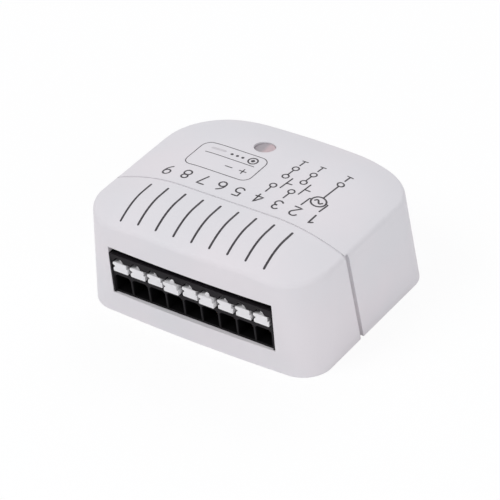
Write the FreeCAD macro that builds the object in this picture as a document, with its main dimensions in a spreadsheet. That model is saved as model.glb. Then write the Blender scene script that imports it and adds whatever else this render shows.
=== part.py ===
import FreeCAD, Part
import math
import os
import Sketcher

# Roller shutter module for a wall box: a moulded housing in two shells, a nine-way push-in
# terminal block with release buttons, and two boards.
# Frame: origin on the floor under the middle of the housing, X to the right along the
# terminal face, terminals towards -Y, Z up. Millimetres.

doc = FreeCAD.newDocument("RollerShutterModule")
Vector = FreeCAD.Vector

drivingSizes = (
    # outer form
    ("housingWidth", 42.5, "width over the side walls at the floor"),
    ("housingDepth", 38.25, "depth from the top of the terminal face to the foot of the back"),
    ("housingHeight", 20.3, "height of the crown over the floor"),
    ("wall", 1.2, "wall of both shells"),
    ("creaseHeight", 17.4, "height of the soft edge between walls and top"),
    ("creaseRadius", 1.0, "rounding of that edge"),
    ("creaseTrim", 0.04, "how much that rounding takes off the depth"),
    ("rollReach", 12.8, "how far in from the sides and the back the top starts to roll down"),
    ("frontRollReach", 7.5, "how far in from the terminal face the top starts to roll down"),
    ("roofReach", 10.5, "how far in from the edge the plain roof inside starts to fall"),
    ("roofCornerReach", 12.6, "how far in from a rear corner the roof inside starts to fall"),
    ("roofCornerFall", 4.67, "how far it falls to that corner"),
    ("frontLean", 1.22, "how far the terminal face leans out from floor to edge"),
    ("rearDraft", 1.9, "how far the back leans in from floor to edge"),
    ("sideDraft", 0.15, "how far each side leans in from floor to edge"),
    ("frontCornerLow", 4.85, "front corner radius at the floor"),
    ("frontCornerHigh", 7.7, "front corner radius at the edge"),
    ("rearCornerLow", 4.8, "rear corner radius at the floor"),
    ("rearCornerHigh", 9.2, "rear corner radius at the edge"),
    ("frontBow", 0.66, "how far the bowed terminal face stands out in its middle"),
    ("rearBow", 3.63, "how far the bowed back stands out in its middle"),
    # seam between the shells
    ("seamBack", 7.75, "distance of the seam on the top from the middle, towards the front"),
    ("seamLean", 3.65, "how far the seam runs back from the edge down to the floor"),
    ("seamGap", 0.24, "gap between the shells on the top"),
    ("sideReveal", 0.6, "extra gap between the shells on the sides"),
    ("lipLength", 1.2, "how far the rear shell's lip reaches into the front shell"),
    ("lipInset", 0.66, "depth of the lip's face under the outer surface"),
    ("lipClearance", 0.12, "play around the lip"),
    # terminal window and block
    ("windowWidth", 29.9, "width of the window"),
    ("faceShift", -0.22, "middle of the window and the terminal block"),
    ("windowLow", 4.05, "height of the window's sill"),
    ("windowHigh", 12.92, "height of the window's top"),
    ("wayCount", 9, "ways of the terminal block"),
    ("wayPitch", 3.23, "pitch of the ways"),
    ("noseClearance", 0.1, "play of the block's nose in the window"),
    ("noseTop", 11.8, "height of the nose's top"),
    ("noseRecessLow", 0.7, "depth of the nose's face under the housing at the sill"),
    ("noseRecessHigh", 0.25, "depth of the nose's face under the housing at its top"),
    ("cheekThickness", 0.3, "thickness of the two cheeks that stand out at the nose's ends"),
    ("cheekRecess", 0.4, "depth of the cheeks' foot under the housing's middle"),
    ("blockWidth", 30.8, "width of the block behind the window"),
    ("blockFront", 2.725, "front of the block behind the window, behind the terminal face"),
    ("blockBack", 10.825, "back of the block, behind the terminal face"),
    ("blockTop", 13.6, "top of the block"),
    ("entryLow", 4.45, "bottom of a wire entry"),
    ("entryHigh", 7.75, "top of a wire entry"),
    ("entryWidth", 2.98, "width of a wire entry at the face"),
    ("entryCorner", 0.4, "bevel of a wire entry's upper corners"),
    ("funnelDepth", 3.225, "where a wire entry's funnel ends, behind the terminal face"),
    ("channelWidth", 2.5, "width of the wire channel"),
    ("channelLow", 4.8, "bottom of the wire channel"),
    ("channelHigh", 7.3, "top of the wire channel"),
    ("chamberFront", 3.725, "front of the clamp chamber, behind the terminal face"),
    ("chamberBack", 10.125, "back of the clamp chamber, behind the terminal face"),
    ("chamberTop", 11.2, "ceiling of the clamp chamber"),
    ("chamberWidth", 2.6, "width of the clamp chamber"),
    # release buttons
    ("buttonLow", 8.6, "bottom of a button head"),
    ("buttonStep", 9.5, "height of the step between the head's two bands"),
    ("buttonHigh", 10.26, "top of a button head"),
    ("buttonHalf", 1.33, "half width of a button head"),
    ("armReach", 0.1, "how much further left the upper band reaches"),
    ("bandInset", 0.27, "how much shorter the upper band is on the right"),
    ("notchDepth", 0.42, "depth of the notch between the bands on the left"),
    ("notchHalf", 0.28, "half the height of that notch"),
    ("bandRounding", 0.2, "rounding of the bands' left ends"),
    ("tabHigh", 10.84, "top of the tab over the head"),
    ("tabLeft", 0.5, "how far the tab reaches left of the middle"),
    ("tabRight", 0.28, "how far the tab reaches right of the middle"),
    ("tabRecess", 0.5, "how far the tab stands behind the head's face"),
    ("headThickness", 1.3, "thickness of a button head"),
    ("headProud", 0.5, "how far a head stands out of the nose's face when its foot stops it"),
    ("settle", 0.4, "how much further in most buttons rest"),
    ("troughClearance", 0.14, "play over and under the heads"),
    ("troughBack", 3.225, "back of the trough that the heads slide in, behind the terminal face"),
    ("slotRadius", 0.85, "radius of the half-round tool slot over each button"),
    ("slotShift", 0.35, "how far the tool slot lies left of the button's middle"),
    ("slotDepth", 2.4, "depth of the tool slot from the nose's face"),
    ("stemWidth", 1.8, "width of a button's stem"),
    ("stemLow", 8.75, "bottom of a button's stem"),
    ("stemHigh", 9.9, "top of a button's stem"),
    ("stemPlay", 0.1, "play of the stem in its hole and of the foot behind the wall"),
    ("footThickness", 0.4, "thickness of the foot that holds the button in"),
    ("footLow", 7.35, "bottom of the foot and the nose that presses the spring"),
    ("footHigh", 10.3, "top of the foot"),
    ("presserHigh", 8.2, "top of the nose that presses the spring"),
    ("presserReach", 1.15, "how far that nose reaches past the foot"),
    # clamp springs and current bars
    ("leafThickness", 0.25, "thickness of a clamp spring's leaf"),
    ("leafWidth", 2.0, "width of a clamp spring"),
    ("leafTop", 10.9, "height of the upper leg's upper side"),
    ("leafBend", 1.0, "outer radius of the spring's bend"),
    ("leafBendBack", 6.125, "middle of the bend, behind the terminal face"),
    ("leafEnd", 9.375, "end of the upper leg, behind the terminal face"),
    ("leafSlope", 58.0, "slope of the clamping leg in degrees"),
    ("barTop", 4.8, "upper side of a current bar, where the wire lies"),
    ("barThickness", 0.5, "thickness of a current bar"),
    ("barWidth", 1.9, "width of a current bar"),
    ("barClearance", 0.12, "play between bar, spring and block"),
    ("barUpright", 10.4, "top of the bar's upright"),
    ("pinWidth", 0.8, "width of a solder pin"),
    ("pinLow", 1.5, "lower end of the solder pins"),
    ("pinSlotPlay", 0.1, "play of the solder pins in the board's slots"),
    ("frontPinBack", 4.725, "front solder pin, behind the terminal face"),
    # boards
    ("boardLow", 2.1, "underside of the main board"),
    ("boardThickness", 1.6, "thickness of the main board"),
    ("boardSide", 1.95, "side edges of the main board, from the sides of the housing"),
    ("boardFront", 2.925, "front edge of the main board, behind the terminal face"),
    ("boardRear", 4.125, "rear edge of the main board, from the foot of the back"),
    ("boardCorner", 4.5, "corner radius of the main board"),
    ("radioBoardDrop", 4.9, "underside of the radio board under the crown"),
    ("radioBoardThickness", 1.0, "thickness of the radio board"),
    ("radioBoardWidth", 28.0, "width of the radio board"),
    ("radioBoardFront", 6.8, "front edge of the radio board, from the middle"),
    ("radioBoardRear", 5.125, "rear edge of the radio board, from the foot of the back"),
    ("radioBoardCorner", 2.5, "corner radius of the radio board"),
    # programming button
    ("progLeft", 3.4, "button's distance left of the middle"),
    ("progBack", 7.85, "button's distance behind the middle"),
    ("progHoleRadius", 1.75, "radius of the button's hole"),
    ("progPlay", 0.08, "radial play of the button in its hole"),
    ("progRecess", 0.6, "depth of the button under the top"),
    ("progFlange", 2.4, "radius of the flange under the seat"),
    ("progFlangeThickness", 0.5, "thickness of that flange"),
    ("progSeatDrop", 1.7, "flat seat over that flange, under the crown"),
    ("progSeatPlay", 0.2, "radial room around the flange in its seat"),
    ("progBossWall", 0.5, "wall of the boss that carries the seat"),
    ("progFlangePlay", 0.1, "play between that flange and its seat"),
    ("progTravel", 0.25, "travel of the button"),
    ("switchSide", 3.8, "side of the tact switch"),
    ("switchHeight", 1.2, "height of the tact switch"),
    ("switchStemRadius", 0.8, "radius of the tact switch's stem"),
    ("seatGap", 0.1, "gap under parts that stand on a board"),
    # snap arms, ribs and ledges
    ("armThickness", 0.8, "thickness of a snap arm"),
    ("armSet", 1.65, "outer face of the snap arms, from the sides of the housing"),
    ("armLow", 7.0, "lower edge of the snap arms"),
    ("armHigh", 11.0, "upper edge of the snap arms"),
    ("armRoot", 7.125, "front end of the arm's root, behind the terminal face"),
    ("armFoot", 4.0, "length of the arm's root on the wall"),
    ("armTip", 1.5, "tip of the arms, from the middle"),
    ("hookLength", 1.0, "length of the hook"),
    ("hookReach", 0.5, "how far the hook stands out of the arm"),
    ("hookPlay", 0.12, "play of the hook in its recess"),
    ("ribThickness", 1.0, "thickness of the floor ribs"),
    ("footRibX", 7.5, "front shell's floor ribs, from the middle"),
    ("footRibBack", 9.0, "end of those ribs, from the middle"),
    ("floorRibX", 9.0, "rear shell's floor ribs, from the middle"),
    ("floorRibFront", 2.0, "front end of those ribs, from the middle"),
    ("floorRibBack", 14.0, "rear end of those ribs, from the middle"),
    ("railReach", 0.4, "how far the side rails reach over the main board"),
    ("railFront", 2.0, "front end of the rails, from the middle"),
    ("railBack", 10.0, "rear end of the rails, from the middle"),
    ("railHeight", 0.85, "top of the rails over the main board"),
    ("ledgeX", 7.0, "ledges under the radio board, from the middle"),
    ("ledgeWidth", 2.0, "width of a ledge"),
    ("ledgeReach", 2.6, "how far a ledge reaches under the radio board"),
    ("ledgeHeight", 1.4, "height of a ledge"),
    ("troughSide", 0.05, "play beside the first and the last button"),
)

sheet = doc.addObject("Spreadsheet::Sheet", "Sizes")
for row, (alias, value, note) in enumerate(drivingSizes, start=1):
    sheet.set("A%d" % row, alias)
    sheet.set("B%d" % row, str(value))
    sheet.set("C%d" % row, note)
    sheet.setAlias("B%d" % row, alias)
doc.recompute()


class Size:
    """A length together with the sheet formula that gives it."""

    def __init__(self, value, formula):
        self.value = value
        self.formula = formula

    def joined(self, sign, other, value):
        return Size(value, "(%s %s %s)" % (self.formula, sign, other.formula))

    def __add__(self, other):
        other = asSize(other)
        return self.joined("+", other, self.value + other.value)

    def __sub__(self, other):
        other = asSize(other)
        return self.joined("-", other, self.value - other.value)

    def __mul__(self, other):
        other = asSize(other)
        return self.joined("*", other, self.value * other.value)

    def __truediv__(self, other):
        other = asSize(other)
        return self.joined("/", other, self.value / other.value)

    def __radd__(self, other):
        return asSize(other) + self

    def __rsub__(self, other):
        return asSize(other) - self

    def __rmul__(self, other):
        return asSize(other) * self

    def __neg__(self):
        return asSize(0) - self


def asSize(amount):
    if isinstance(amount, Size):
        return amount
    return Size(float(amount), "%.6f" % amount)


def named(alias):
    return Size(float(sheet.get(alias)), "Sizes." + alias)


def bind(thing, path, amount):
    thing.setExpression(path, asSize(amount).formula)


# Helpers that make document objects


def block(name, low, high):
    """A box between two corners."""
    box = doc.addObject("Part::Box", name)
    for axis, side, start, end in zip("xyz", ("Length", "Width", "Height"), low, high):
        bind(box, side, asSize(end) - start)
        bind(box, "Placement.Base." + axis, start)
    return box


turns = {
    "X": FreeCAD.Rotation(Vector(0, 1, 0), 90),
    "Y": FreeCAD.Rotation(Vector(1, 0, 0), -90),
    "Z": FreeCAD.Rotation(),
}


def rod(name, start, radius, length, axis="Z"):
    """A cylinder from a start point along an axis."""
    cylinder = doc.addObject("Part::Cylinder", name)
    cylinder.Placement = FreeCAD.Placement(Vector(), turns[axis])
    bind(cylinder, "Radius", radius)
    bind(cylinder, "Height", length)
    for letter, place in zip("xyz", start):
        bind(cylinder, "Placement.Base." + letter, place)
    return cylinder


def joined(name, pieces):
    fusion = doc.addObject("Part::MultiFuse", name)
    fusion.Shapes = pieces
    fusion.Refine = True
    return fusion


def shared(name, pieces):
    common = doc.addObject("Part::MultiCommon", name)
    common.Shapes = pieces
    return common


def without(name, base, tools):
    """The base less every tool."""
    result = doc.addObject("Part::Cut", name)
    result.Base = base
    if len(tools) == 1:
        result.Tool = tools[0]
    else:
        result.Tool = joined(name + "_tools", tools)
    return result


def group(name, pieces):
    """Separate solids that share one node."""
    compound = doc.addObject("Part::Compound", name)
    compound.Links = pieces
    return compound


def rounded(name, base, radius, picks, kind="Part::Fillet"):
    """Fillets, or another kind of edge, on the edges that picks accepts."""
    doc.recompute()
    fillet = doc.addObject(kind, name)
    fillet.Base = base
    chosen = [i for i, edge in enumerate(base.Shape.Edges, start=1) if picks(edge)]
    fillet.Edges = [(i, asSize(radius).value, asSize(radius).value) for i in chosen]
    return fillet


def bevelledRims(name, base, size):
    """Bevels on the round rims of a cylinder."""
    return rounded(name, base, size, lambda edge: len(edge.Vertexes) == 1, "Part::Chamfer")


def runsAlong(edge, direction):
    """True for a straight edge that runs along a direction."""
    if len(edge.Vertexes) != 2:
        return False
    span = edge.Vertexes[1].Point - edge.Vertexes[0].Point
    return span.Length > 1e-6 and abs(span.normalize().dot(direction)) > 0.9999


planeTurns = {
    "XY": FreeCAD.Rotation(),
    "XZ": FreeCAD.Rotation(Vector(1, 0, 0), 90),
    "YZ": FreeCAD.Rotation(Vector(1, 1, 1), 120),
}


def newSketch(name, plane, body=None):
    """A sketch on an origin plane, in a body if one is given."""
    if body is None:
        sketch = doc.addObject("Sketcher::SketchObject", name)
        sketch.Placement = FreeCAD.Placement(Vector(), planeTurns[plane])
        return sketch
    sketch = body.newObject("Sketcher::SketchObject", name)
    role = plane + "_Plane"
    support = [o for o in body.Origin.OriginFeatures if o.Role == role][0]
    sketch.AttachmentSupport = [(support, "")]
    sketch.MapMode = "FlatFace"
    return sketch


def constrain(sketch, kind, where, amount):
    """A dimension bound to its formula."""
    amount = asSize(amount)
    sketch.addConstraint(Sketcher.Constraint(kind, *where, amount.value))
    bind(sketch, "Constraints[%d]" % (sketch.ConstraintCount - 1), amount)


def addLoop(sketch, points):
    """A closed chain of lines with every corner placed by the sheet."""
    corners = [(asSize(a), asSize(b)) for a, b in points]
    first = sketch.GeometryCount
    count = len(corners)
    for i in range(count):
        a, b = corners[i], corners[(i + 1) % count]
        start = Vector(a[0].value, a[1].value, 0)
        end = Vector(b[0].value, b[1].value, 0)
        sketch.addGeometry(Part.LineSegment(start, end), False)
    for i in range(count):
        after = first + (i + 1) % count
        sketch.addConstraint(Sketcher.Constraint("Coincident", first + i, 2, after, 1))
    for i, (a, b) in enumerate(corners):
        constrain(sketch, "DistanceX", (-1, 1, first + i, 1), a)
        constrain(sketch, "DistanceY", (-1, 1, first + i, 1), b)


def profile(name, plane, points, body=None):
    sketch = newSketch(name, plane, body)
    addLoop(sketch, points)
    return sketch


def slab(name, sketch, axis, start, end):
    """A sketch drawn out along an axis, from start to end."""
    drawn = doc.addObject("Part::Extrusion", name)
    drawn.Base = sketch
    drawn.DirMode = "Custom"
    drawn.Dir = {"X": Vector(1, 0, 0), "Y": Vector(0, 1, 0), "Z": Vector(0, 0, 1)}[axis]
    drawn.Solid = True
    bind(drawn, "LengthFwd", asSize(end) - start)
    bind(drawn, "Placement.Base." + axis.lower(), start)
    return drawn


def copyAt(name, master, shift, back):
    """A copy of a master piece, moved along X and Y."""
    copy = doc.addObject("Part::Compound", name)
    copy.Links = [master]
    bind(copy, "Placement.Base.x", shift)
    bind(copy, "Placement.Base.y", back)
    return copy


# Outer form: a drafted wall whose corners grow softer upwards, under a crown that rolls down
# towards all four sides

width = named("housingWidth")
depth = named("housingDepth")
height = named("housingHeight")
wall = named("wall")
creaseHeight = named("creaseHeight")
overshoot = 1.0


def fromFace(alias):
    """Distance from the middle to a place that is measured from the terminal face."""
    return depth / 2 - named(alias)


def fromBack(alias):
    """Distance from the middle to a place that is measured from the foot of the back."""
    return depth / 2 - named(alias)


def frontAt(level, inset=0):
    """Y of the terminal face at a height."""
    share = asSize(level) / creaseHeight
    return -(depth / 2 + named("creaseTrim")) + named("frontLean") * (1 - share) + inset


def rearAt(level, inset=0):
    """Y of the back at a height."""
    return depth / 2 - named("rearDraft") * (asSize(level) / creaseHeight) - inset


def sideAt(level, inset=0):
    """X of the right side at a height."""
    return width / 2 - named("sideDraft") * (asSize(level) / creaseHeight) - inset


def bowRadius(alias):
    """Radius of a bow over the full width that stands out by a named amount."""
    half = width / 2
    out = named(alias)
    return (half * half + out * out) / (2 * out)


def outline(name, level, inset):
    """Plan of the housing at a height: two bows, two sides and four tangent corners."""
    share = asSize(level) / creaseHeight
    half = sideAt(level, inset)
    front = frontAt(level, inset)
    rear = rearAt(level, inset)
    frontCorner = named("frontCornerLow") - inset
    frontCorner += (named("frontCornerHigh") - named("frontCornerLow")) * share
    rearCorner = named("rearCornerLow") - inset
    rearCorner += (named("rearCornerHigh") - named("rearCornerLow")) * share
    frontBow = bowRadius("frontBow") - inset
    rearBow = bowRadius("rearBow") - inset

    def bowAndCorner(bow, corner, reach):
        """Heights of the bow's middle and the corner's middle over the sketch's X axis."""
        bowMiddle = reach - bow
        rise = math.sqrt((bow - corner) ** 2 - (half.value - corner) ** 2)
        return bowMiddle, bowMiddle + rise

    frontMiddle, frontRise = bowAndCorner(frontBow.value, frontCorner.value, -front.value)
    rearMiddle, rearRise = bowAndCorner(rearBow.value, rearCorner.value, rear.value)
    sketch = newSketch(name, "XY")
    bind(sketch, "Placement.Base.z", level)

    def arc(middle, radius, start, end):
        circle = Part.Circle(Vector(middle[0], middle[1], 0), Vector(0, 0, 1), radius)
        sketch.addGeometry(Part.ArcOfCircle(circle, start, end), False)

    def bearing(middle, corner):
        return math.atan2(corner[1] - middle[1], corner[0] - middle[0])

    frontCentre = (0, -frontMiddle)
    rearCentre = (0, rearMiddle)
    frontX = half.value - frontCorner.value
    rearX = half.value - rearCorner.value
    frontRight = bearing(frontCentre, (frontX, -frontRise))
    rearRight = bearing(rearCentre, (rearX, rearRise))
    low = Vector(half.value, -frontRise, 0)
    high = Vector(half.value, rearRise, 0)
    flip = Vector(-2 * half.value, 0, 0)
    arc(frontCentre, frontBow.value, -math.pi - frontRight, frontRight)
    arc((frontX, -frontRise), frontCorner.value, frontRight, 0)
    sketch.addGeometry(Part.LineSegment(low, high), False)
    arc((rearX, rearRise), rearCorner.value, 0, rearRight)
    arc(rearCentre, rearBow.value, rearRight, math.pi - rearRight)
    arc((-rearX, rearRise), rearCorner.value, math.pi - rearRight, math.pi)
    sketch.addGeometry(Part.LineSegment(high + flip, low + flip), False)
    arc((-frontX, -frontRise), frontCorner.value, math.pi, -math.pi - frontRight)
    for i in range(8):
        sketch.addConstraint(Sketcher.Constraint("Tangent", i, 2, (i + 1) % 8, 1))
    for i, radius in ((0, frontBow), (4, rearBow)):
        sketch.addConstraint(Sketcher.Constraint("PointOnObject", i, 3, -2))
        constrain(sketch, "Radius", (i,), radius)
    for i, radius in ((1, frontCorner), (3, rearCorner), (5, rearCorner), (7, frontCorner)):
        constrain(sketch, "Radius", (i,), radius)
    for i, side in ((2, half), (6, -half)):
        sketch.addConstraint(Sketcher.Constraint("Vertical", i))
        constrain(sketch, "DistanceX", (-1, 1, i, 1), side)
    constrain(sketch, "DistanceY", (-1, 1, 0, 3), front + frontBow)
    constrain(sketch, "DistanceY", (-1, 1, 4, 3), rear - rearBow)
    return sketch


def crown(name, inset):
    """A solid under the rolled top: flat in the middle, falling as a parabola near each side.

    Its surface is one quadratic sheet of five by five poles, and only the outermost poles
    lie lower. The roll is shorter over the terminal face.
    """
    reach = named("rollReach").value
    fall = height.value - creaseHeight.value
    side = sideAt(creaseHeight).value

    def stations(low, high, lowReach, highReach):
        """Knots, pole places and drops between two edges, with a quarter reach beyond each."""
        start = low - lowReach / 4
        end = high + highReach / 4
        knots = [start, low + lowReach, high - highReach, end]
        places = [start, (knots[0] + knots[1]) / 2, (knots[1] + knots[2]) / 2, (knots[2] + knots[3]) / 2, end]
        drop = fall * (5 / 4) ** 2
        return knots, places, [drop, 0, 0, 0, drop]

    knotsX, placesX, dropsX = stations(-side, side, reach, reach)
    front = frontAt(creaseHeight).value
    rear = rearAt(creaseHeight).value
    knotsY, placesY, dropsY = stations(front, rear, named("frontRollReach").value, reach)
    top = height.value - inset.value
    poles = [
        [Vector(x, y, top - dropX - dropY) for y, dropY in zip(placesY, dropsY)]
        for x, dropX in zip(placesX, dropsX)
    ]
    surface = Part.BSplineSurface()
    ends = [3, 1, 1, 3]
    surface.buildFromPolesMultsKnots(poles, ends, ends, knotsX, knotsY, False, False, 2, 2)
    solid = surface.toShape().extrude(Vector(0, 0, -1.5 * height.value))
    feature = doc.addObject("Part::Feature", name)
    feature.Shape = solid
    return feature


def roof(name, inset):
    """A plain roof under the crown: flat in the middle, with four flats that fall to the walls."""
    top = height - inset
    level = creaseHeight - inset
    start = named("roofReach")
    half = sideAt(creaseHeight)
    profiles = (
        ("across", "XZ", "Y", -half, half),
        ("along", "YZ", "X", frontAt(creaseHeight), rearAt(creaseHeight)),
    )
    slabs = []
    for part, plane, axis, low, high in profiles:
        points = [(low, -overshoot), (high, -overshoot), (high, level), (high - start, top)]
        points += [(low + start, top), (low, level)]
        sketch = profile("%s_%s" % (name, part), plane, points)
        slabs.append(slab("%s_%s_slab" % (name, part), sketch, axis, -width, width))
    # flats across the rear corners, where the crown rolls down from two sides
    corner = (half + rearAt(creaseHeight)) * math.sqrt(0.5)
    foot = top - named("roofCornerFall")
    points = [(-corner, -overshoot), (corner, -overshoot), (corner, foot)]
    points += [(corner - named("roofCornerReach"), top), (-corner, top)]
    for part, turn in (("right", 45), ("left", 135)):
        sketch = profile("%s_%s" % (name, part), "XZ", points)
        flat = group("%s_%s_flat" % (name, part), [slab("%s_%s_slab" % (name, part), sketch, "Y", -width, width)])
        flat.Placement = FreeCAD.Placement(Vector(), FreeCAD.Rotation(Vector(0, 0, 1), turn))
        slabs.append(flat)
    return shared(name, slabs)


def chords(name, sketch, perCurve):
    """A closed plan of straight runs, with a few of them in place of each curve of a sketch."""
    doc.recompute()
    edges = Part.Wire(Part.__sortEdges__(sketch.Shape.Edges)).OrderedEdges
    points = []
    for edge in edges:
        runs = 1 if isinstance(edge.Curve, Part.Line) else perCurve
        places = edge.discretize(runs + 1)
        if edge.Orientation == "Reversed":
            places.reverse()
        points += places[:-1]
    polygon = doc.addObject("Part::Polygon", name)
    polygon.Nodes = points
    polygon.Close = True
    return polygon


def housingForm(name, inset, top=crown, perCurve=0):
    """The closed form of the housing, moved in by an inset on the walls and the top."""
    sections = [
        outline(name + "_foot", 0, inset),
        outline(name + "_head", height + overshoot, inset),
    ]
    if perCurve:
        sections = [chords(section.Name + "_chords", section, perCurve) for section in sections]
    loft = doc.addObject("Part::Loft", name + "_walls")
    loft.Sections = sections
    loft.Solid = True
    loft.Ruled = True
    return shared(name, [loft, top(name + "_top", asSize(inset))])


def seamAt(level):
    """Y of the seam at a height below the edge."""
    return -named("seamBack") + named("seamLean") * (1 - asSize(level) / creaseHeight)


def seamZone(name, shift, direction):
    """Everything on one side of the seam line, moved along Y."""
    below = -overshoot
    above = height + overshoot
    far = direction * depth
    points = [
        (far, below),
        (seamAt(below) + shift, below),
        (seamAt(creaseHeight) + shift, creaseHeight),
        (seamAt(creaseHeight) + shift, above),
        (far, above),
    ]
    return slab(name, profile(name + "_profile", "YZ", points), "X", -width, width)


def seamBand(name, start, end):
    """A band along the seam line, between two shifts along Y."""
    below = -overshoot
    above = height + overshoot
    points = []
    for shift, levels in ((start, (below, creaseHeight, above)), (end, (above, creaseHeight, below))):
        for level in levels:
            lean = creaseHeight if level is above else level
            points.append((seamAt(lean) + shift, level))
    return slab(name, profile(name + "_profile", "YZ", points), "X", -width, width)


outerForm = housingForm("outer_form", 0)
innerForm = housingForm("inner_form", wall, roof, 4)
lipForm = housingForm("lip_form", named("lipInset"))
rebateForm = housingForm("rebate_form", named("lipInset") - named("lipClearance"))
doc.recompute()


def isCrease(edge):
    box = edge.BoundBox
    return box.ZMin > creaseHeight.value - 2.0 and box.ZMax < height.value and edge.Length > 0.5


outerSkin = rounded("outer_skin", outerForm, named("creaseRadius"), isCrease)
doc.recompute()

# Shells

seamGap = named("seamGap")
sideReveal = named("sideReveal")
lipLength = named("lipLength")
lipClearance = named("lipClearance")
windowHalf = named("windowWidth") / 2
windowLow = named("windowLow")
windowHigh = named("windowHigh")
boardLow = named("boardLow")
boardTop = boardLow + named("boardThickness")
boardHalf = width / 2 - named("boardSide")
boardFront = fromFace("boardFront")
boardRear = fromBack("boardRear")
radioLow = height - named("radioBoardDrop")
radioTop = radioLow + named("radioBoardThickness")
seatGap = named("seatGap")
progX = -named("progLeft")
progY = named("progBack")
progSeat = height - named("progSeatDrop")


def aboveFloor(name, form, floor):
    """The part of a form that lies over its floor."""
    low = (-width, -depth, floor)
    high = (width, depth, height + overshoot)
    return shared(name, [form, block(name + "_space", low, high)])


cavity = aboveFloor("cavity", innerForm, wall)
rebate = aboveFloor("rebate", rebateForm, named("lipInset") - lipClearance)
lipBody = aboveFloor("lip_body", lipForm, named("lipInset"))


def mirrored(points):
    """Low and high corners of a box on the right and its mirror on the left."""
    (lowX, lowY, lowZ), (highX, highY, highZ) = points
    left = ((-highX, lowY, lowZ), (-lowX, highY, highZ))
    return (("right", points), ("left", left))


# Snap arms stand on the front shell and hook into recesses of the rear shell
armThickness = named("armThickness")
armOuter = width / 2 - named("armSet")
armLow = named("armLow")
armHigh = named("armHigh")
armRoot = -fromFace("armRoot")
armTip = -named("armTip")
hookLength = named("hookLength")
hookReach = named("hookReach")
armInner = armOuter - armThickness
lowestArmSide = sideAt(armHigh, wall)


def snapArms():
    arms = []
    arm = ((armInner, armRoot, armLow), (armOuter, armTip, armHigh))
    root = ((armInner, armRoot, armLow), (lowestArmSide + wall / 2, armRoot + named("armFoot"), armHigh))
    hook = ((armInner, armTip - hookLength, armLow), (armOuter + hookReach, armTip, armHigh))
    for part, corners in (("arm", arm), ("arm_root", root), ("arm_hook", hook)):
        for side, (low, high) in mirrored(corners):
            arms.append(block("%s_%s" % (part, side), low, high))
    return arms


def snapRecesses():
    play = named("hookPlay")
    low = (armOuter, armTip - hookLength - play, armLow - play)
    high = (armOuter + hookReach + play, armTip + play, armHigh + play)
    return [block("recess_" + side, a, b) for side, (a, b) in mirrored((low, high))]


def frontCover():
    zone = seamZone("front_zone", -(seamGap / 2), -1)
    skin = shared("front_skin", [outerSkin, zone])
    band = seamBand("rebate_band", -(lipLength + seamGap), seamGap + overshoot)
    rebateSpace = shared("rebate_space", [rebate, band])
    window = block(
        "window",
        (named("faceShift") - windowHalf, -depth, windowLow),
        (named("faceShift") + windowHalf, -fromFace("blockFront"), windowHigh),
    )
    shell = without("front_shell", skin, [cavity, rebateSpace, window])
    ribs = []
    for side, (low, high) in mirrored((
        (named("footRibX"), frontAt(0, wall / 2), wall / 2),
        (named("footRibX") + named("ribThickness"), -named("footRibBack"), boardLow - seatGap / 2),
    )):
        ribs.append(block("front_rib_" + side, low, high))
    return joined("front_cover", [shell] + ribs + snapArms())


def rearCover():
    zone = seamZone("rear_zone", seamGap / 2, 1)
    skin = shared("rear_skin", [outerSkin, zone])
    shell = without("rear_shell", skin, [cavity])
    # the side walls stand back a little further than the top, so the lip shows as a band
    reveal = seamBand("side_reveal", 0, seamGap / 2 + sideReveal)
    below = block("side_reveal_space", (-width, -depth, -overshoot), (width, depth, creaseHeight))
    shell = without("rear_walls", shell, [shared("side_reveal_band", [reveal, below])])
    lipBand = seamBand("lip_band", -lipLength, seamGap + sideReveal + wall)
    lip = without("lip", shared("lip_ring", [lipBody, lipBand]), [cavity])
    ribs = []
    floorRib = (
        (named("floorRibX"), -named("floorRibFront"), wall / 2),
        (named("floorRibX") + named("ribThickness"), named("floorRibBack"), boardLow - seatGap / 2),
    )
    rail = (
        (boardHalf - named("railReach"), -named("railFront"), boardTop + seatGap / 2),
        (sideAt(boardTop, wall / 2), named("railBack"), boardTop + named("railHeight")),
    )
    ledge = (
        (named("ledgeX"), fromBack("radioBoardRear") - named("ledgeReach"), radioLow - named("ledgeHeight")),
        (named("ledgeX") + named("ledgeWidth"), rearAt(radioLow, wall / 2), radioLow - seatGap / 2),
    )
    for part, corners in (("floor_rib", floorRib), ("board_rail", rail), ("radio_ledge", ledge)):
        for side, (low, high) in mirrored(corners):
            ribs.append(block("%s_%s" % (part, side), low, high))
    ribs = [shared("rear_ribs", [joined("rear_rib_blocks", ribs), lipForm])]
    seatRadius = named("progFlange") + named("progSeatPlay")
    bossRadius = seatRadius + named("progBossWall")
    boss = rod("prog_boss", (progX, progY, progSeat), bossRadius, height - wall / 2 - progSeat)
    body = joined("rear_body", [shell, lip, boss] + ribs)
    hole = rod("prog_hole", (progX, progY, radioTop), named("progHoleRadius"), height)
    seat = rod("prog_seat", (progX, progY, radioTop), seatRadius, progSeat - radioTop)
    return without("rear_cover", body, [hole, seat] + snapRecesses())


# Terminal block: a nose that fills the window, with a funnel, a clamp chamber, a button slot
# and a tool slot for each way

wayCount = int(named("wayCount").value)
wayPitch = named("wayPitch")
faceX = named("faceShift")
firstWay = faceX - wayPitch * (wayCount - 1) / 2
noseHalf = windowHalf - named("noseClearance")
noseLow = windowLow + named("noseClearance")
noseTop = named("noseTop")
blockFront = fromFace("blockFront")
blockBack = fromFace("blockBack")
chamberFront = fromFace("chamberFront")
chamberBack = fromFace("chamberBack")
troughPlay = named("troughClearance")


def wayX(i):
    return firstWay + wayPitch * i


def noseFaceAt(level):
    """Y of the nose's face at a height: it leans more than the housing around it."""
    low = frontAt(windowLow) + named("noseRecessLow")
    high = frontAt(noseTop) + named("noseRecessHigh")
    return low + (high - low) * ((asSize(level) - windowLow) / (noseTop - windowLow))


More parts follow.
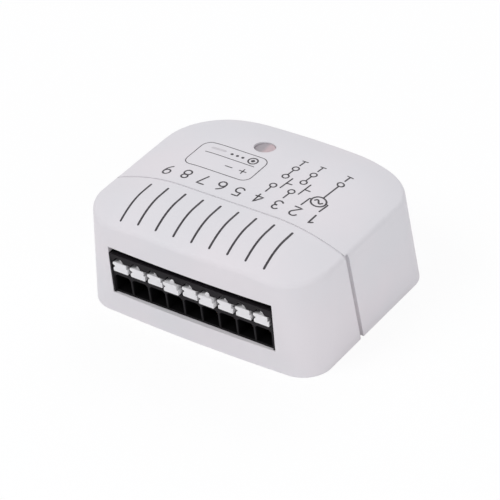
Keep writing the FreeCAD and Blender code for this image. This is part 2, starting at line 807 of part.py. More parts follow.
def terminalHousing():
    body = doc.addObject("PartDesign::Body", "terminal_housing")

    def pad(name, sketch, length, symmetric):
        feature = body.newObject("PartDesign::Pad", name)
        feature.Profile = sketch
        if symmetric:
            feature.SideType = "Symmetric"
        bind(feature, "Length", length)
        return feature

    def pocket(name, plane, points, offset, length, reverse):
        sketch = profile(name + "_sketch", plane, points, body)
        bind(sketch, "AttachmentOffset.Base.z", offset)
        doc.recompute()
        before = body.Shape.Volume
        feature = body.newObject("PartDesign::Pocket", name)
        feature.Profile = sketch
        feature.Reversed = reverse
        bind(feature, "Length", length)
        doc.recompute()
        if body.Shape.Volume >= before:
            raise RuntimeError(name + " cuts nothing")
        return feature

    def rectangle(middle, half, low, high):
        return [(middle - half, low), (middle + half, low), (middle + half, high), (middle - half, high)]

    def entryShape(middle, half, low, high):
        """A rectangle with its two upper corners cut off."""
        cut = named("entryCorner")
        shoulders = [(middle + half, high - cut), (middle + half - cut, high)]
        shoulders += [(middle - half + cut, high), (middle - half, high - cut)]
        return [(middle - half, low), (middle + half, low)] + shoulders

    mainProfile = rectangle(faceX, named("blockWidth") / 2, boardTop, named("blockTop"))
    mainSketch = profile("block_profile", "XZ", mainProfile, body)
    bind(mainSketch, "AttachmentOffset.Base.z", blockBack)
    pad("block_pad", mainSketch, blockFront - blockBack, False)
    noseProfile = [
        (-blockFront + overshoot, noseLow),
        (-blockFront + overshoot, noseTop),
        (noseFaceAt(noseTop), noseTop),
        (noseFaceAt(noseLow), noseLow),
    ]
    noseSketch = profile("nose_profile", "YZ", noseProfile, body)
    bind(noseSketch, "AttachmentOffset.Base.z", faceX)
    pad("nose_pad", noseSketch, noseHalf * 2, True)
    cheekProfile = [
        (-blockFront + overshoot, noseLow),
        (-blockFront + overshoot, noseTop),
        (noseFaceAt(noseTop), noseTop),
        (frontAt(noseLow) + named("cheekRecess"), noseLow),
    ]
    cheek = named("cheekThickness")
    for side, sign in (("left", -1), ("right", 1)):
        cheekSketch = profile("cheek_profile_" + side, "YZ", cheekProfile, body)
        bind(cheekSketch, "AttachmentOffset.Base.z", faceX + sign * (noseHalf - cheek / 2))
        pad("cheek_pad_" + side, cheekSketch, cheek, True)
    doc.recompute()

    # one trough for all the button heads
    trough = rectangle(
        faceX,
        wayPitch * wayCount / 2 + named("troughSide"),
        named("buttonLow") - troughPlay,
        named("buttonHigh") + troughPlay,
    )
    pocket("trough", "XZ", trough, fromFace("troughBack"), depth, True)

    x = firstWay
    channel = entryShape(x, named("channelWidth") / 2, named("channelLow"), named("channelHigh"))
    channelCut = pocket("wire_channel", "XZ", channel, chamberFront - overshoot, depth, True)
    chamber = rectangle(x, named("chamberWidth") / 2, chamberBack, chamberFront)
    chamber = [(across, -along) for across, along in chamber]
    chamberCut = pocket("clamp_chamber", "XY", chamber, boardTop, named("chamberTop") - boardTop, True)
    stem = rectangle(
        x,
        named("stemWidth") / 2 + named("stemPlay"),
        named("stemLow") - named("stemPlay"),
        named("stemHigh") + named("stemPlay"),
    )
    stemDepth = fromFace("troughBack") - chamberFront + 2 * overshoot
    stemCut = pocket("stem_hole", "XZ", stem, chamberFront - overshoot, stemDepth, True)

    # wire funnel, from the face to the channel
    outer = -noseFaceAt(noseTop) + overshoot
    mouthDepth = -noseFaceAt(named("entryHigh"))
    spread = (outer - fromFace("funnelDepth")) / (mouthDepth - fromFace("funnelDepth"))
    throat = entryShape(x, named("channelWidth") / 2, named("channelLow"), named("channelHigh"))
    mouth = entryShape(
        x,
        named("channelWidth") / 2 + (named("entryWidth") - named("channelWidth")) / 2 * spread,
        named("channelLow") - (named("channelLow") - named("entryLow")) * spread,
        named("channelHigh") + (named("entryHigh") - named("channelHigh")) * spread,
    )
    sketches = []
    for name, points, offset in (("throat", throat, fromFace("funnelDepth")), ("mouth", mouth, outer)):
        sketch = profile(name + "_sketch", "XZ", points, body)
        bind(sketch, "AttachmentOffset.Base.z", offset)
        sketches.append(sketch)
    funnelCut = body.newObject("PartDesign::SubtractiveLoft", "funnel")
    funnelCut.Profile = sketches[0]
    funnelCut.Sections = [sketches[1]]
    funnelCut.Ruled = True
    doc.recompute()

    # half-round tool slot over the button
    toolSketch = newSketch("tool_slot_sketch", "XZ", body)
    middle = (x - named("slotShift"), named("buttonHigh") + troughPlay)
    centre = Vector(middle[0].value, middle[1].value, 0)
    circle = Part.Circle(centre, Vector(0, 0, 1), named("slotRadius").value)
    toolSketch.addGeometry(circle, False)
    constrain(toolSketch, "Radius", (0,), named("slotRadius"))
    constrain(toolSketch, "DistanceX", (-1, 1, 0, 3), middle[0])
    constrain(toolSketch, "DistanceY", (-1, 1, 0, 3), middle[1])
    bind(toolSketch, "AttachmentOffset.Base.z", -noseFaceAt(noseTop) - named("slotDepth"))
    toolCut = body.newObject("PartDesign::Pocket", "tool_slot")
    toolCut.Profile = toolSketch
    toolCut.Reversed = True
    bind(toolCut, "Length", depth)
    doc.recompute()

    ways = body.newObject("PartDesign::LinearPattern", "ways")
    ways.Originals = [channelCut, chamberCut, stemCut, funnelCut, toolCut]
    ways.Direction = (toolSketch, ["H_Axis"])
    ways.Mode = "Spacing"
    bind(ways, "Offset", wayPitch)
    ways.Occurrences = wayCount
    body.Tip = ways
    doc.recompute()
    return body


# Release buttons: a head with two bands, a tab in the tool slot, a stem through the trough's
# wall, a foot that holds it in and a nose that presses the spring

buttonLow = named("buttonLow")
buttonStep = named("buttonStep")
buttonHigh = named("buttonHigh")
buttonHalf = named("buttonHalf")


def buttonMaster():
    notch = named("notchDepth")
    inset = named("bandInset")
    half = named("notchHalf")
    arm = buttonHalf + named("armReach")
    outlinePoints = [
        (-buttonHalf, buttonLow),
        (buttonHalf, buttonLow),
        (buttonHalf, buttonStep),
        (buttonHalf - inset, buttonStep),
        (buttonHalf - inset, buttonHigh),
        (-arm, buttonHigh),
        (-arm, buttonStep + half),
        (-buttonHalf + notch, buttonStep),
        (-buttonHalf, buttonStep - half),
    ]
    face = noseFaceAt(buttonStep) - named("headProud")
    back = face + named("headThickness")
    head = slab("head", profile("head_profile", "XZ", outlinePoints), "Y", face, back)
    left = -buttonHalf.value

    def isBandEnd(edge):
        return runsAlong(edge, Vector(0, 1, 0)) and edge.Vertexes[0].Point.x < left + 0.02

    headRounded = rounded("head_rounded", head, named("bandRounding"), isBandEnd)
    tabPoints = [
        (-named("tabLeft"), buttonHigh - notch),
        (named("tabRight"), buttonHigh - notch),
        (named("tabRight"), named("tabHigh")),
        (-named("tabLeft") / 4, named("tabHigh")),
        (-named("tabLeft"), buttonHigh + (named("tabHigh") - buttonHigh) / 3),
    ]
    tab = slab("tab", profile("tab_profile", "XZ", tabPoints), "Y", face + named("tabRecess"), back)
    foot = -chamberFront + named("stemPlay")
    footEnd = foot + named("footThickness")
    stemHalf = named("stemWidth") / 2
    stemFront = back - named("tabRecess")
    stem = block("stem", (-stemHalf, stemFront, named("stemLow")), (stemHalf, foot, named("stemHigh")))
    plate = block("foot", (-stemHalf, foot, named("footLow")), (stemHalf, footEnd, named("footHigh")))
    presser = block(
        "presser",
        (-stemHalf, footEnd, named("footLow")),
        (stemHalf, footEnd + named("presserReach"), named("presserHigh")),
    )
    return joined("button_master", [headRounded, tab, stem, plate, presser])


# Clamp springs: a leaf bent over at the front, whose sloping leg presses the wire on the bar


def leafMaster():
    thick = named("leafThickness")
    bend = named("leafBend")
    slope = named("leafSlope")
    top = named("leafTop")
    middleY = -fromFace("leafBendBack")
    middleZ = top - bend
    tip = named("barTop") + named("barClearance")
    end = -fromFace("leafEnd")
    angle = math.radians(slope.value)
    inner = bend - thick
    sketch = newSketch("leaf_profile", "YZ")
    centre = Vector(middleY.value, middleZ.value, 0)
    outward = Vector(-math.sin(angle), -math.cos(angle), 0)
    along = Vector(math.cos(angle), -math.sin(angle), 0)
    start = centre + outward * bend.value
    startInner = centre + outward * inner.value
    run = (start.y - tip.value) / math.sin(angle)
    tipOuter = start + along * run
    tipInner = startInner + along * run
    legOuter = Vector(end.value, top.value, 0)
    legInner = Vector(end.value, top.value - thick.value, 0)
    topOuter = Vector(middleY.value, top.value, 0)
    topInner = Vector(middleY.value, top.value - thick.value, 0)
    bearing = math.pi + (math.pi / 2 - angle)
    outerArc = Part.ArcOfCircle(Part.Circle(centre, Vector(0, 0, 1), bend.value), math.pi / 2, bearing)
    innerArc = Part.ArcOfCircle(Part.Circle(centre, Vector(0, 0, 1), inner.value), math.pi / 2, bearing)
    for shape in (
        Part.LineSegment(legOuter, topOuter),
        outerArc,
        Part.LineSegment(start, tipOuter),
        Part.LineSegment(tipOuter, tipInner),
        Part.LineSegment(tipInner, startInner),
        innerArc,
        Part.LineSegment(topInner, legInner),
        Part.LineSegment(legInner, legOuter),
    ):
        sketch.addGeometry(shape, False)
    add = sketch.addConstraint
    add(Sketcher.Constraint("Tangent", 0, 2, 1, 1))
    add(Sketcher.Constraint("Tangent", 1, 2, 2, 1))
    add(Sketcher.Constraint("Coincident", 2, 2, 3, 1))
    add(Sketcher.Constraint("Coincident", 3, 2, 4, 1))
    add(Sketcher.Constraint("Tangent", 4, 2, 5, 2))
    add(Sketcher.Constraint("Tangent", 5, 1, 6, 1))
    add(Sketcher.Constraint("Coincident", 6, 2, 7, 1))
    add(Sketcher.Constraint("Coincident", 7, 2, 0, 1))
    add(Sketcher.Constraint("Coincident", 1, 3, 5, 3))
    add(Sketcher.Constraint("Horizontal", 0))
    add(Sketcher.Constraint("Vertical", 7))
    add(Sketcher.Constraint("Perpendicular", 2, 3))
    add(Sketcher.Constraint("Parallel", 2, 4))
    add(Sketcher.Constraint("Horizontal", 6))
    constrain(sketch, "Radius", (1,), bend)
    constrain(sketch, "Radius", (5,), inner)
    constrain(sketch, "DistanceX", (-1, 1, 1, 3), middleY)
    constrain(sketch, "DistanceY", (-1, 1, 1, 3), middleZ)
    constrain(sketch, "DistanceX", (-1, 1, 0, 1), end)
    constrain(sketch, "DistanceY", (-1, 1, 2, 2), tip)
    add(Sketcher.Constraint("Angle", 4, math.pi - angle))
    bind(sketch, "Constraints[%d]" % (sketch.ConstraintCount - 1), 180 - slope)
    return sketch


def contactBars():
    """One current bar for each way: a strip under the wire, an upright and two solder pins."""
    clearance = named("barClearance")
    thick = named("barThickness")
    half = named("barWidth") / 2
    pinHalf = named("pinWidth") / 2
    top = named("barTop")
    front = -(chamberFront - clearance)
    rear = -(chamberBack + clearance)
    pinFront = -fromFace("frontPinBack") - thick / 2
    bars = []
    for i in range(wayCount):
        x = wayX(i)
        pieces = (
            ("strip", (x - half, front, top - thick), (x + half, rear, top)),
            ("upright", (x - half, rear - thick, top - thick), (x + half, rear, named("barUpright"))),
            ("front_pin", (x - pinHalf, pinFront, named("pinLow")), (x + pinHalf, pinFront + thick, top)),
            ("rear_pin", (x - pinHalf, rear - thick, named("pinLow")), (x + pinHalf, rear, top)),
        )
        boxes = [block("%s_%d" % (part, i + 1), low, high) for part, low, high in pieces]
        bars.append(joined("bar_%d" % (i + 1), boxes))
    return group("contact_bars", bars)


# Boards and what stands on them

componentSizes = (
    ("relayLength", 16.0, "length of a relay"),
    ("relayWidth", 10.0, "width of a relay"),
    ("relayHeight", 10.4, "height of a relay"),
    ("relayFront", 7.6, "front face of the relays, from the middle"),
    ("relayLeft", 2.0, "left face of the first relay, left of the middle"),
    ("relaySpacing", 10.6, "spacing of the two relays"),
    ("relayRounding", 0.5, "rounding of a relay's upright edges"),
    ("smoothRadius", 4.0, "radius of the smoothing capacitor"),
    ("smoothHeight", 11.0, "height of the smoothing capacitor"),
    ("smoothX", -14.6, "smoothing capacitor's middle"),
    ("smoothY", -3.2, "smoothing capacitor's middle"),
    ("rimBevel", 0.5, "bevel on the rims of round parts"),
    ("filmWidth", 3.8, "width of the mains capacitor"),
    ("filmLength", 7.2, "length of the mains capacitor"),
    ("filmHeight", 8.0, "height of the mains capacitor"),
    ("filmX", -8.3, "mains capacitor's middle"),
    ("filmY", -0.6, "mains capacitor's middle"),
    ("varistorRadius", 3.5, "radius of the varistor"),
    ("varistorThickness", 3.0, "thickness of the varistor"),
    ("varistorX", -6.4, "varistor's middle"),
    ("varistorY", -7.5, "varistor's front face"),
    ("legRadius", 0.3, "radius of round wire legs"),
    ("legSpread", 2.5, "half the spacing of the varistor's legs"),
    ("fuseRadius", 1.7, "radius of the fuse resistor"),
    ("fuseLength", 8.4, "length of the fuse resistor"),
    ("fuseX", -4.2, "fuse resistor's axis"),
    ("fuseFront", -3.3, "fuse resistor's front end"),
    ("fuseHeight", 2.1, "height of its axis over the board"),
    ("coreSide", 8.4, "side of the transformer's core"),
    ("coreHeight", 2.4, "height of each half of the core"),
    ("coilRadius", 3.8, "radius of the transformer's coil"),
    ("coilHeight", 3.8, "height of the coil"),
    ("coreX", -13.0, "transformer's middle"),
    ("coreY", 7.6, "transformer's middle"),
    ("socketLength", 10.4, "length of the header's socket"),
    ("socketWidth", 4.4, "width of the header's socket"),
    ("socketHeight", 8.5, "height of the header's socket"),
    ("socketX", -1.0, "socket's middle"),
    ("socketY", 12.4, "socket's middle"),
    ("headerPitch", 2.0, "pitch of the header's pins"),
    ("headerSide", 0.5, "side of a header pin"),
    ("headerPlay", 0.1, "play of a pin in the socket"),
    ("headerEngage", 3.5, "depth of the pins in the socket"),
    ("canLength", 12.0, "length of the radio module's can"),
    ("canWidth", 10.0, "width of the radio module's can"),
    ("canHeight", 1.6, "height of the radio module"),
    ("canX", 7.5, "radio module's middle"),
    ("canY", 3.0, "radio module's middle"),
    ("canRim", 0.5, "rim of the module's board around the can"),
    ("antennaLength", 7.0, "length of the chip antenna"),
    ("antennaWidth", 2.0, "width of the chip antenna"),
    ("antennaHeight", 1.2, "height of the chip antenna"),
    ("antennaX", -8.5, "chip antenna's middle"),
    ("antennaY", -4.5, "chip antenna's middle"),
    ("ledLength", 1.6, "length of the status light"),
    ("ledWidth", 0.8, "width of the status light"),
    ("ledHeight", 0.6, "height of the status light"),
    ("ledAside", 3.2, "how far the status light stands left of the button"),
    ("rectifierX", -6.2, "rectifier's middle"),
    ("rectifierY", 8.15, "rectifier's middle"),
    ("rectifierLength", 4.8, "length of the rectifier"),
    ("rectifierWidth", 3.4, "width of the rectifier"),
    ("rectifierHeight", 2.4, "height of the rectifier"),
    ("controllerX", 11.0, "power controller's middle"),
    ("controllerY", 12.2, "power controller's middle"),
    ("controllerLength", 4.9, "length of the power controller"),
    ("controllerWidth", 3.9, "width of the power controller"),
    ("controllerHeight", 1.5, "height of the power controller"),
    ("optoLeftX", 6.7, "left optocoupler's middle"),
    ("optoLeftY", 11.8, "left optocoupler's middle"),
    ("optoRightX", 15.6, "right optocoupler's middle"),
    ("optoRightY", 11.2, "right optocoupler's middle"),
    ("optoLength", 2.6, "length of an optocoupler"),
    ("optoWidth", 4.4, "width of an optocoupler"),
    ("optoHeight", 2.0, "height of an optocoupler"),
)
for row, (alias, value, note) in enumerate(componentSizes, start=len(drivingSizes) + 1):
    sheet.set("A%d" % row, alias)
    sheet.set("B%d" % row, str(value))
    sheet.set("C%d" % row, note)
    sheet.setAlias("B%d" % row, alias)
doc.recompute()


def standing(name, middle, size, floor):
    """A box with its middle at a point of the board."""
    x, y = middle
    length, breadth, tall = size
    low = (x - length / 2, y - breadth / 2, floor)
    return block(name, low, (x + length / 2, y + breadth / 2, floor + tall))


def platePlan(name, half, front, rear, corner, low, high):
    """A board with rounded corners."""
    plain = block(name + "_blank", (-half, front, low), (half, rear, high))
    return rounded(name + "_plate", plain, corner, lambda e: runsAlong(e, Vector(0, 0, 1)))


def mainBoard():
    plate = platePlan("main", boardHalf, -boardFront, boardRear, named("boardCorner"), boardLow, boardTop)
    slots = []
    play = 2 * named("pinSlotPlay")
    size = (named("pinWidth") + play, named("barThickness") + play, named("boardThickness") + 2 * overshoot)
    rearPin = -(chamberBack + named("barClearance") + named("barThickness") / 2)
    for i in range(wayCount):
        for part, y in (("front", -fromFace("frontPinBack")), ("rear", rearPin)):
            name = "%s_pin_slot_%d" % (part, i + 1)
            slots.append(standing(name, (wayX(i), y), size, boardLow - overshoot))
    return without("main_board", plate, slots)


boardSeat = boardTop + seatGap
radioSeat = radioTop + seatGap


def relay(number):
    left = -named("relayLeft") + named("relaySpacing") * (number - 1)
    front = -named("relayFront")
    low = (left, front, boardSeat)
    high = (left + named("relayWidth"), front + named("relayLength"), boardSeat + named("relayHeight"))
    blank = block("relay_blank_%d" % number, low, high)
    return rounded(
        "relay_%d" % number, blank, named("relayRounding"), lambda e: runsAlong(e, Vector(0, 0, 1))
    )


def smoothingCapacitor():
    start = (named("smoothX"), named("smoothY"), boardSeat)
    can = rod("smoothing_blank", start, named("smoothRadius"), named("smoothHeight"))
    return bevelledRims("smoothing_capacitor", can, named("rimBevel"))


def varistor():
    radius = named("varistorRadius")
    middle = boardTop + radius + named("rimBevel")
    x, y = named("varistorX"), named("varistorY")
    disc = rod("varistor_disc", (x, y, middle), radius, named("varistorThickness"), "Y")
    disc = bevelledRims("varistor_body", disc, named("rimBevel"))
    legs = []
    for side, across in (("left", -named("legSpread")), ("right", named("legSpread"))):
        start = (x + across, y + named("varistorThickness") / 2, boardSeat)
        legs.append(rod("varistor_leg_" + side, start, named("legRadius"), radius / 2))
    return joined("varistor", [disc] + legs)


def fuseResistor():
    x, front = named("fuseX"), named("fuseFront")
    axis = boardTop + named("fuseHeight")
    leg = named("legRadius")
    tail = overshoot / 2
    body = rod("fuse_body", (x, front, axis), named("fuseRadius"), named("fuseLength"), "Y")
    body = bevelledRims("fuse_shell", body, named("rimBevel"))
    wire = rod("fuse_wire", (x, front - tail, axis), leg, named("fuseLength") + 2 * tail, "Y")
    ends = []
    for end, y in (("front", front - tail), ("rear", front + named("fuseLength") + tail)):
        ends.append(rod("fuse_leg_" + end, (x, y, boardSeat), leg, named("fuseHeight") - seatGap + leg))
    return joined("fuse_resistor", [body, wire] + ends)


def transformer():
    side = named("coreSide")
    middle = (named("coreX"), named("coreY"))
    tall = named("coreHeight")
    upper = boardSeat + tall + named("coilHeight")
    pieces = [
        standing("core_lower", middle, (side, side, tall), boardSeat),
        standing("core_upper", middle, (side, side, tall), upper),
        rod("coil", (middle[0], middle[1], boardSeat), named("coilRadius"), upper - boardSeat + tall / 2),
    ]
    return joined("transformer", pieces)


headerColumns = 5
headerRows = 2


def headerPlaces():
    for column in range(headerColumns):
        for line in range(headerRows):
            x = named("socketX") + named("headerPitch") * (column - (headerColumns - 1) / 2)
            y = named("socketY") + named("headerPitch") * (line - (headerRows - 1) / 2)
            yield "%d_%d" % (column + 1, line + 1), (x, y)


def headerSocket():
    size = (named("socketLength"), named("socketWidth"), named("socketHeight"))
    body = standing("socket_body", (named("socketX"), named("socketY")), size, boardSeat)
    slot = named("headerSide") + 2 * named("headerPlay")
    depthIn = named("headerEngage") + overshoot
    floor = boardSeat + named("socketHeight") - named("headerEngage") - named("headerPlay")
    slots = [standing("socket_slot_" + n, m, (slot, slot, depthIn), floor) for n, m in headerPlaces()]
    return without("header_socket", body, slots)


def headerCarrier():
    floor = boardSeat + named("socketHeight") + seatGap
    size = (named("socketLength"), named("socketWidth"), radioLow - seatGap - floor)
    body = standing("carrier_body", (named("socketX"), named("socketY")), size, floor)
    slot = named("headerSide") + named("headerPlay")
    slots = []
    for name, middle in headerPlaces():
        slots.append(standing("carrier_slot_" + name, middle, (slot, slot, height), floor - overshoot))
    return without("header_carrier", body, slots)


def headerPins():
    low = boardSeat + named("socketHeight") - named("headerEngage")
    side = named("headerSide")
    size = (side, side, radioLow - seatGap / 2 - low)
    return group("header_pins", [standing("pin_" + n, m, size, low) for n, m in headerPlaces()])


def radioModule():
    middle = (named("canX"), named("canY"))
    rim = named("canRim")
    tall = named("canHeight")
    board = (named("canWidth") + 2 * rim, named("canLength") + 2 * rim, tall / 2)
    can = (named("canWidth"), named("canLength"), tall)
    return joined("radio_module", [
        standing("module_board", middle, board, radioSeat),
        standing("module_can", middle, can, radioSeat),
    ])


def progButton():
    """A light-guide button: a stub in the hole and a flange that keeps it under the roof."""
    top = height - named("progRecess")
    roof = progSeat - named("progFlangePlay")
    radius = named("progHoleRadius") - named("progPlay")
    flangeLow = roof - named("progFlangeThickness")
    foot = flangeLow - seatGap
    stub = rod("prog_stub", (progX, progY, foot), radius, top - foot)
    flange = rod("prog_flange", (progX, progY, flangeLow), named("progFlange"), roof - flangeLow)
    return joined("prog_button", [stub, flange])


def progSwitch():
    side = named("switchSide")
    body = standing("switch_body", (progX, progY), (side, side, named("switchHeight") - seatGap), radioSeat)
    hole = named("switchStemRadius") + named("progPlay")
    sunk = 2 * named("progTravel") + seatGap
    start = (progX, progY, radioTop + named("switchHeight") - sunk)
    return without("prog_switch", body, [rod("switch_hole", start, hole, sunk + overshoot)])


def progSwitchStem():
    roof = progSeat - named("progFlangePlay")
    top = roof - named("progFlangeThickness") - seatGap - seatGap / 2
    low = radioTop + named("switchHeight") - named("progTravel") + seatGap / 2
    return rod("prog_switch_stem", (progX, progY, low), named("switchStemRadius"), top - low)


def package(name, place, kind):
    """A moulded package on the main board: its place and its kind of body come from the sheet."""
    size = (named(kind + "Length"), named(kind + "Width"), named(kind + "Height"))
    return standing(name, (named(place + "X"), named(place + "Y")), size, boardSeat)


buttons = buttonMaster()
leaf = leafMaster()
frontCover()
rearCover()
terminalHousing()
doc.recompute()
leafHalf = named("leafWidth") / 2
standingOut = (3, 5)
for i in range(wayCount):
    rest = 0 if i in standingOut else named("settle")
    copyAt("release_button_%d" % (i + 1), buttons, wayX(i), rest)
    slab("clamp_spring_%d" % (i + 1), leaf, "X", wayX(i) - leafHalf, wayX(i) + leafHalf)
contactBars()
mainBoard()
relay(1)
relay(2)
filmSize = (named("filmWidth"), named("filmLength"), named("filmHeight"))
standing("mains_capacitor", (named("filmX"), named("filmY")), filmSize, boardSeat)
smoothingCapacitor()
varistor()
fuseResistor()
transformer()
package("rectifier", "rectifier", "rectifier")
package("power_controller", "controller", "controller")
optocouplers = [
    package("optocoupler_left", "optoLeft", "opto"),
    package("optocoupler_right", "optoRight", "opto"),
]
group("optocouplers", optocouplers)
headerSocket()
headerCarrier()
headerPins()
radioPlate = platePlan(
    "radio",
    named("radioBoardWidth") / 2,
    -named("radioBoardFront"),
    fromBack("radioBoardRear"),
    named("radioBoardCorner"),
    radioLow,
    radioTop,
)
group("radio_board", [radioPlate])
radioModule()
antenna = (named("antennaLength"), named("antennaWidth"), named("antennaHeight"))
standing("chip_antenna", (named("antennaX"), named("antennaY")), antenna, radioSeat)
progSwitch()
progSwitchStem()
led = (named("ledLength"), named("ledWidth"), named("ledHeight"))
standing("status_led", (progX - named("ledAside"), progY), led, radioSeat)
progButton()
doc.recompute()

nodes = ["rear_cover", "front_cover", "terminal_housing"]
nodes += ["release_button_%d" % (i + 1) for i in range(wayCount)]
nodes += ["prog_button"]
nodes += ["clamp_spring_%d" % (i + 1) for i in range(wayCount)]
nodes += ["contact_bars", "main_board", "relay_1", "relay_2", "mains_capacitor"]
nodes += ["smoothing_capacitor", "varistor", "fuse_resistor", "rectifier", "transformer"]
nodes += ["power_controller", "optocouplers", "header_socket", "header_carrier", "header_pins"]
nodes += ["radio_board", "radio_module", "chip_antenna", "prog_switch", "prog_switch_stem"]
nodes += ["status_led"]

failed = [o.Name for o in doc.Objects if "Invalid" in o.State or "Error" in o.State]
if failed:
    raise RuntimeError("these objects failed: %s" % failed)
os.makedirs("parts", exist_ok=True)
for node in nodes:
    thing = doc.getObject(node)
    thing.Label = node
    shape = thing.Shape
    if shape.isNull() or not shape.isValid() or not shape.Solids:
        raise RuntimeError(node + " is no valid solid")
    shape.exportStep("parts/%s.step" % node)
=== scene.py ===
import bpy
import bmesh
import math
from mathutils import Matrix, Vector, kdtree
from mathutils.bvhtree import BVHTree


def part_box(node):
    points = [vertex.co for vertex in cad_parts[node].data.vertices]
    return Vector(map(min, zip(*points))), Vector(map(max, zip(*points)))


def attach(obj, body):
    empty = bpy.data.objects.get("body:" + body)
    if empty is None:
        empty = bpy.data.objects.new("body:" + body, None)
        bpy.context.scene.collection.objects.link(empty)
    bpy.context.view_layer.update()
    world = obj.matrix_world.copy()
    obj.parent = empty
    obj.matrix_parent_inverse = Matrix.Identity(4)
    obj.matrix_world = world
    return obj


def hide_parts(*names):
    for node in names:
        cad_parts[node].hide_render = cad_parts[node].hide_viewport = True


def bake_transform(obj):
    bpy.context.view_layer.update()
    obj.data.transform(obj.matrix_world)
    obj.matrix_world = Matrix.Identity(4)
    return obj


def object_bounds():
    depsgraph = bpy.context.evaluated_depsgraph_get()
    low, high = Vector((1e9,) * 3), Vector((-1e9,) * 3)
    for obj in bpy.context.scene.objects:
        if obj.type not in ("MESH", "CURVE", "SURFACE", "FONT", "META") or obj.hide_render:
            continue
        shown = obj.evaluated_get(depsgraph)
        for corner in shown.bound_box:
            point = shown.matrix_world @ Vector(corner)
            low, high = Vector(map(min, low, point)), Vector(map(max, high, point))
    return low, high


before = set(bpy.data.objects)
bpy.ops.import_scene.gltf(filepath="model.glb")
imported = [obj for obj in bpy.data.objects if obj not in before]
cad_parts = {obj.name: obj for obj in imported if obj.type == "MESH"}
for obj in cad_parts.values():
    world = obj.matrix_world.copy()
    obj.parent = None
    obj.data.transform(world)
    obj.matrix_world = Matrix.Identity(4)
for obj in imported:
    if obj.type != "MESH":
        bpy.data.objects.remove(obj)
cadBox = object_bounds()
mm = 0.001
rootBody = "housing"
wayCount = 9
weld = 0.0005 * mm
print("frame loaded")


def placed(name, data):
    thing = bpy.data.objects.new(name, data)
    bpy.context.scene.collection.objects.link(thing)
    return thing


# Materials

def newMaterial(name):
    material = bpy.data.materials.new(name)
    material.use_nodes = True
    tree = material.node_tree
    return material, tree, tree.nodes["Principled BSDF"]


def noise(tree, coords, scale, detail, roughness=0.5):
    node = tree.nodes.new("ShaderNodeTexNoise")
    node.inputs["Scale"].default_value = scale
    node.inputs["Detail"].default_value = detail
    node.inputs["Roughness"].default_value = roughness
    tree.links.new(coords, node.inputs["Vector"])
    return node.outputs["Fac"]


# part of a noise's range over which a colour or a roughness changes
blendRange = {"colour": (0.35, 0.65), "roughness": (0.3, 0.7)}


def ramp(tree, factor, low, high):
    node = tree.nodes.new("ShaderNodeValToRGB")
    for element, position, colour in zip(node.color_ramp.elements, blendRange["colour"], (low, high)):
        element.position = position
        element.color = (*colour, 1)
    tree.links.new(factor, node.inputs["Fac"])
    return node.outputs["Color"]


def span(tree, factor, low, high):
    node = tree.nodes.new("ShaderNodeMapRange")
    node.inputs["From Min"].default_value = blendRange["roughness"][0]
    node.inputs["From Max"].default_value = blendRange["roughness"][1]
    node.inputs["To Min"].default_value = low
    node.inputs["To Max"].default_value = high
    tree.links.new(factor, node.inputs["Value"])
    return node.outputs["Result"]


def bumped(tree, shader, height, strength, depth, base=None):
    bump = tree.nodes.new("ShaderNodeBump")
    bump.inputs["Strength"].default_value = strength
    bump.inputs["Distance"].default_value = depth
    tree.links.new(height, bump.inputs["Height"])
    if base:
        tree.links.new(base, bump.inputs["Normal"])
    tree.links.new(bump.outputs["Normal"], shader.inputs["Normal"])


# painted shade: a second, darker colour that takes over between two places along an axis of the part,
# standing for shade
def paintedShadeTurn(tree, coords, colour, axis, start, end, paintedShadeColour):
    parts = tree.nodes.new("ShaderNodeSeparateXYZ")
    tree.links.new(coords, parts.inputs["Vector"])
    share = tree.nodes.new("ShaderNodeMapRange")
    share.inputs["From Min"].default_value = start
    share.inputs["From Max"].default_value = end
    tree.links.new(parts.outputs[axis], share.inputs["Value"])
    mix = tree.nodes.new("ShaderNodeMix")
    mix.data_type = "RGBA"
    mix.inputs["B"].default_value = (*paintedShadeColour, 1)
    tree.links.new(share.outputs["Result"], mix.inputs["Factor"])
    tree.links.new(colour, mix.inputs["A"])
    return mix.outputs["Result"]


# moulded plastic: fine spark-eroded grain, slow colour drift, softened edges, and where set a painted shade
# along one axis
def plastic(settings):
    material, tree, shader = newMaterial(settings["name"])
    coords = tree.nodes.new("ShaderNodeTexCoord").outputs["Object"]
    drift = noise(tree, coords, settings["driftScale"], detail=2)
    colour = ramp(tree, drift, settings["low"], settings["high"])
    # painted shade: where set, a darker colour takes over along one axis
    if settings.get("turn"):
        colour = paintedShadeTurn(tree, coords, colour, *settings["turn"])
    tree.links.new(colour, shader.inputs["Base Color"])
    grain = noise(tree, coords, settings["grainScale"], detail=3, roughness=0.6)
    tree.links.new(span(tree, grain, *settings["roughness"]), shader.inputs["Roughness"])
    softened = None
    if settings.get("edge"):
        bevel = tree.nodes.new("ShaderNodeBevel")
        bevel.samples = 4
        bevel.inputs["Radius"].default_value = settings["edge"]
        softened = bevel.outputs["Normal"]
    bumped(tree, shader, grain, settings["grainStrength"], settings["grainDepth"], softened)
    shader.inputs["Specular IOR Level"].default_value = settings["specular"]
    shader.inputs["Transmission Weight"].default_value = settings["transmission"]
    return material


# rolled or drawn strip: streaks along one axis, a little staining
def metal(settings):
    material, tree, shader = newMaterial(settings["name"])
    coords = tree.nodes.new("ShaderNodeTexCoord").outputs["Object"]
    stretch = tree.nodes.new("ShaderNodeMapping")
    stretch.inputs["Scale"].default_value = settings["streak"]
    tree.links.new(coords, stretch.inputs["Vector"])
    streaks = noise(tree, stretch.outputs["Vector"], settings["grainScale"], detail=4, roughness=0.6)
    stain = noise(tree, coords, settings["driftScale"], detail=2)
    tree.links.new(ramp(tree, stain, settings["low"], settings["high"]), shader.inputs["Base Color"])
    tree.links.new(span(tree, streaks, *settings["roughness"]), shader.inputs["Roughness"])
    bumped(tree, shader, streaks, settings["grainStrength"], settings["grainDepth"])
    shader.inputs["Metallic"].default_value = 1
    return material


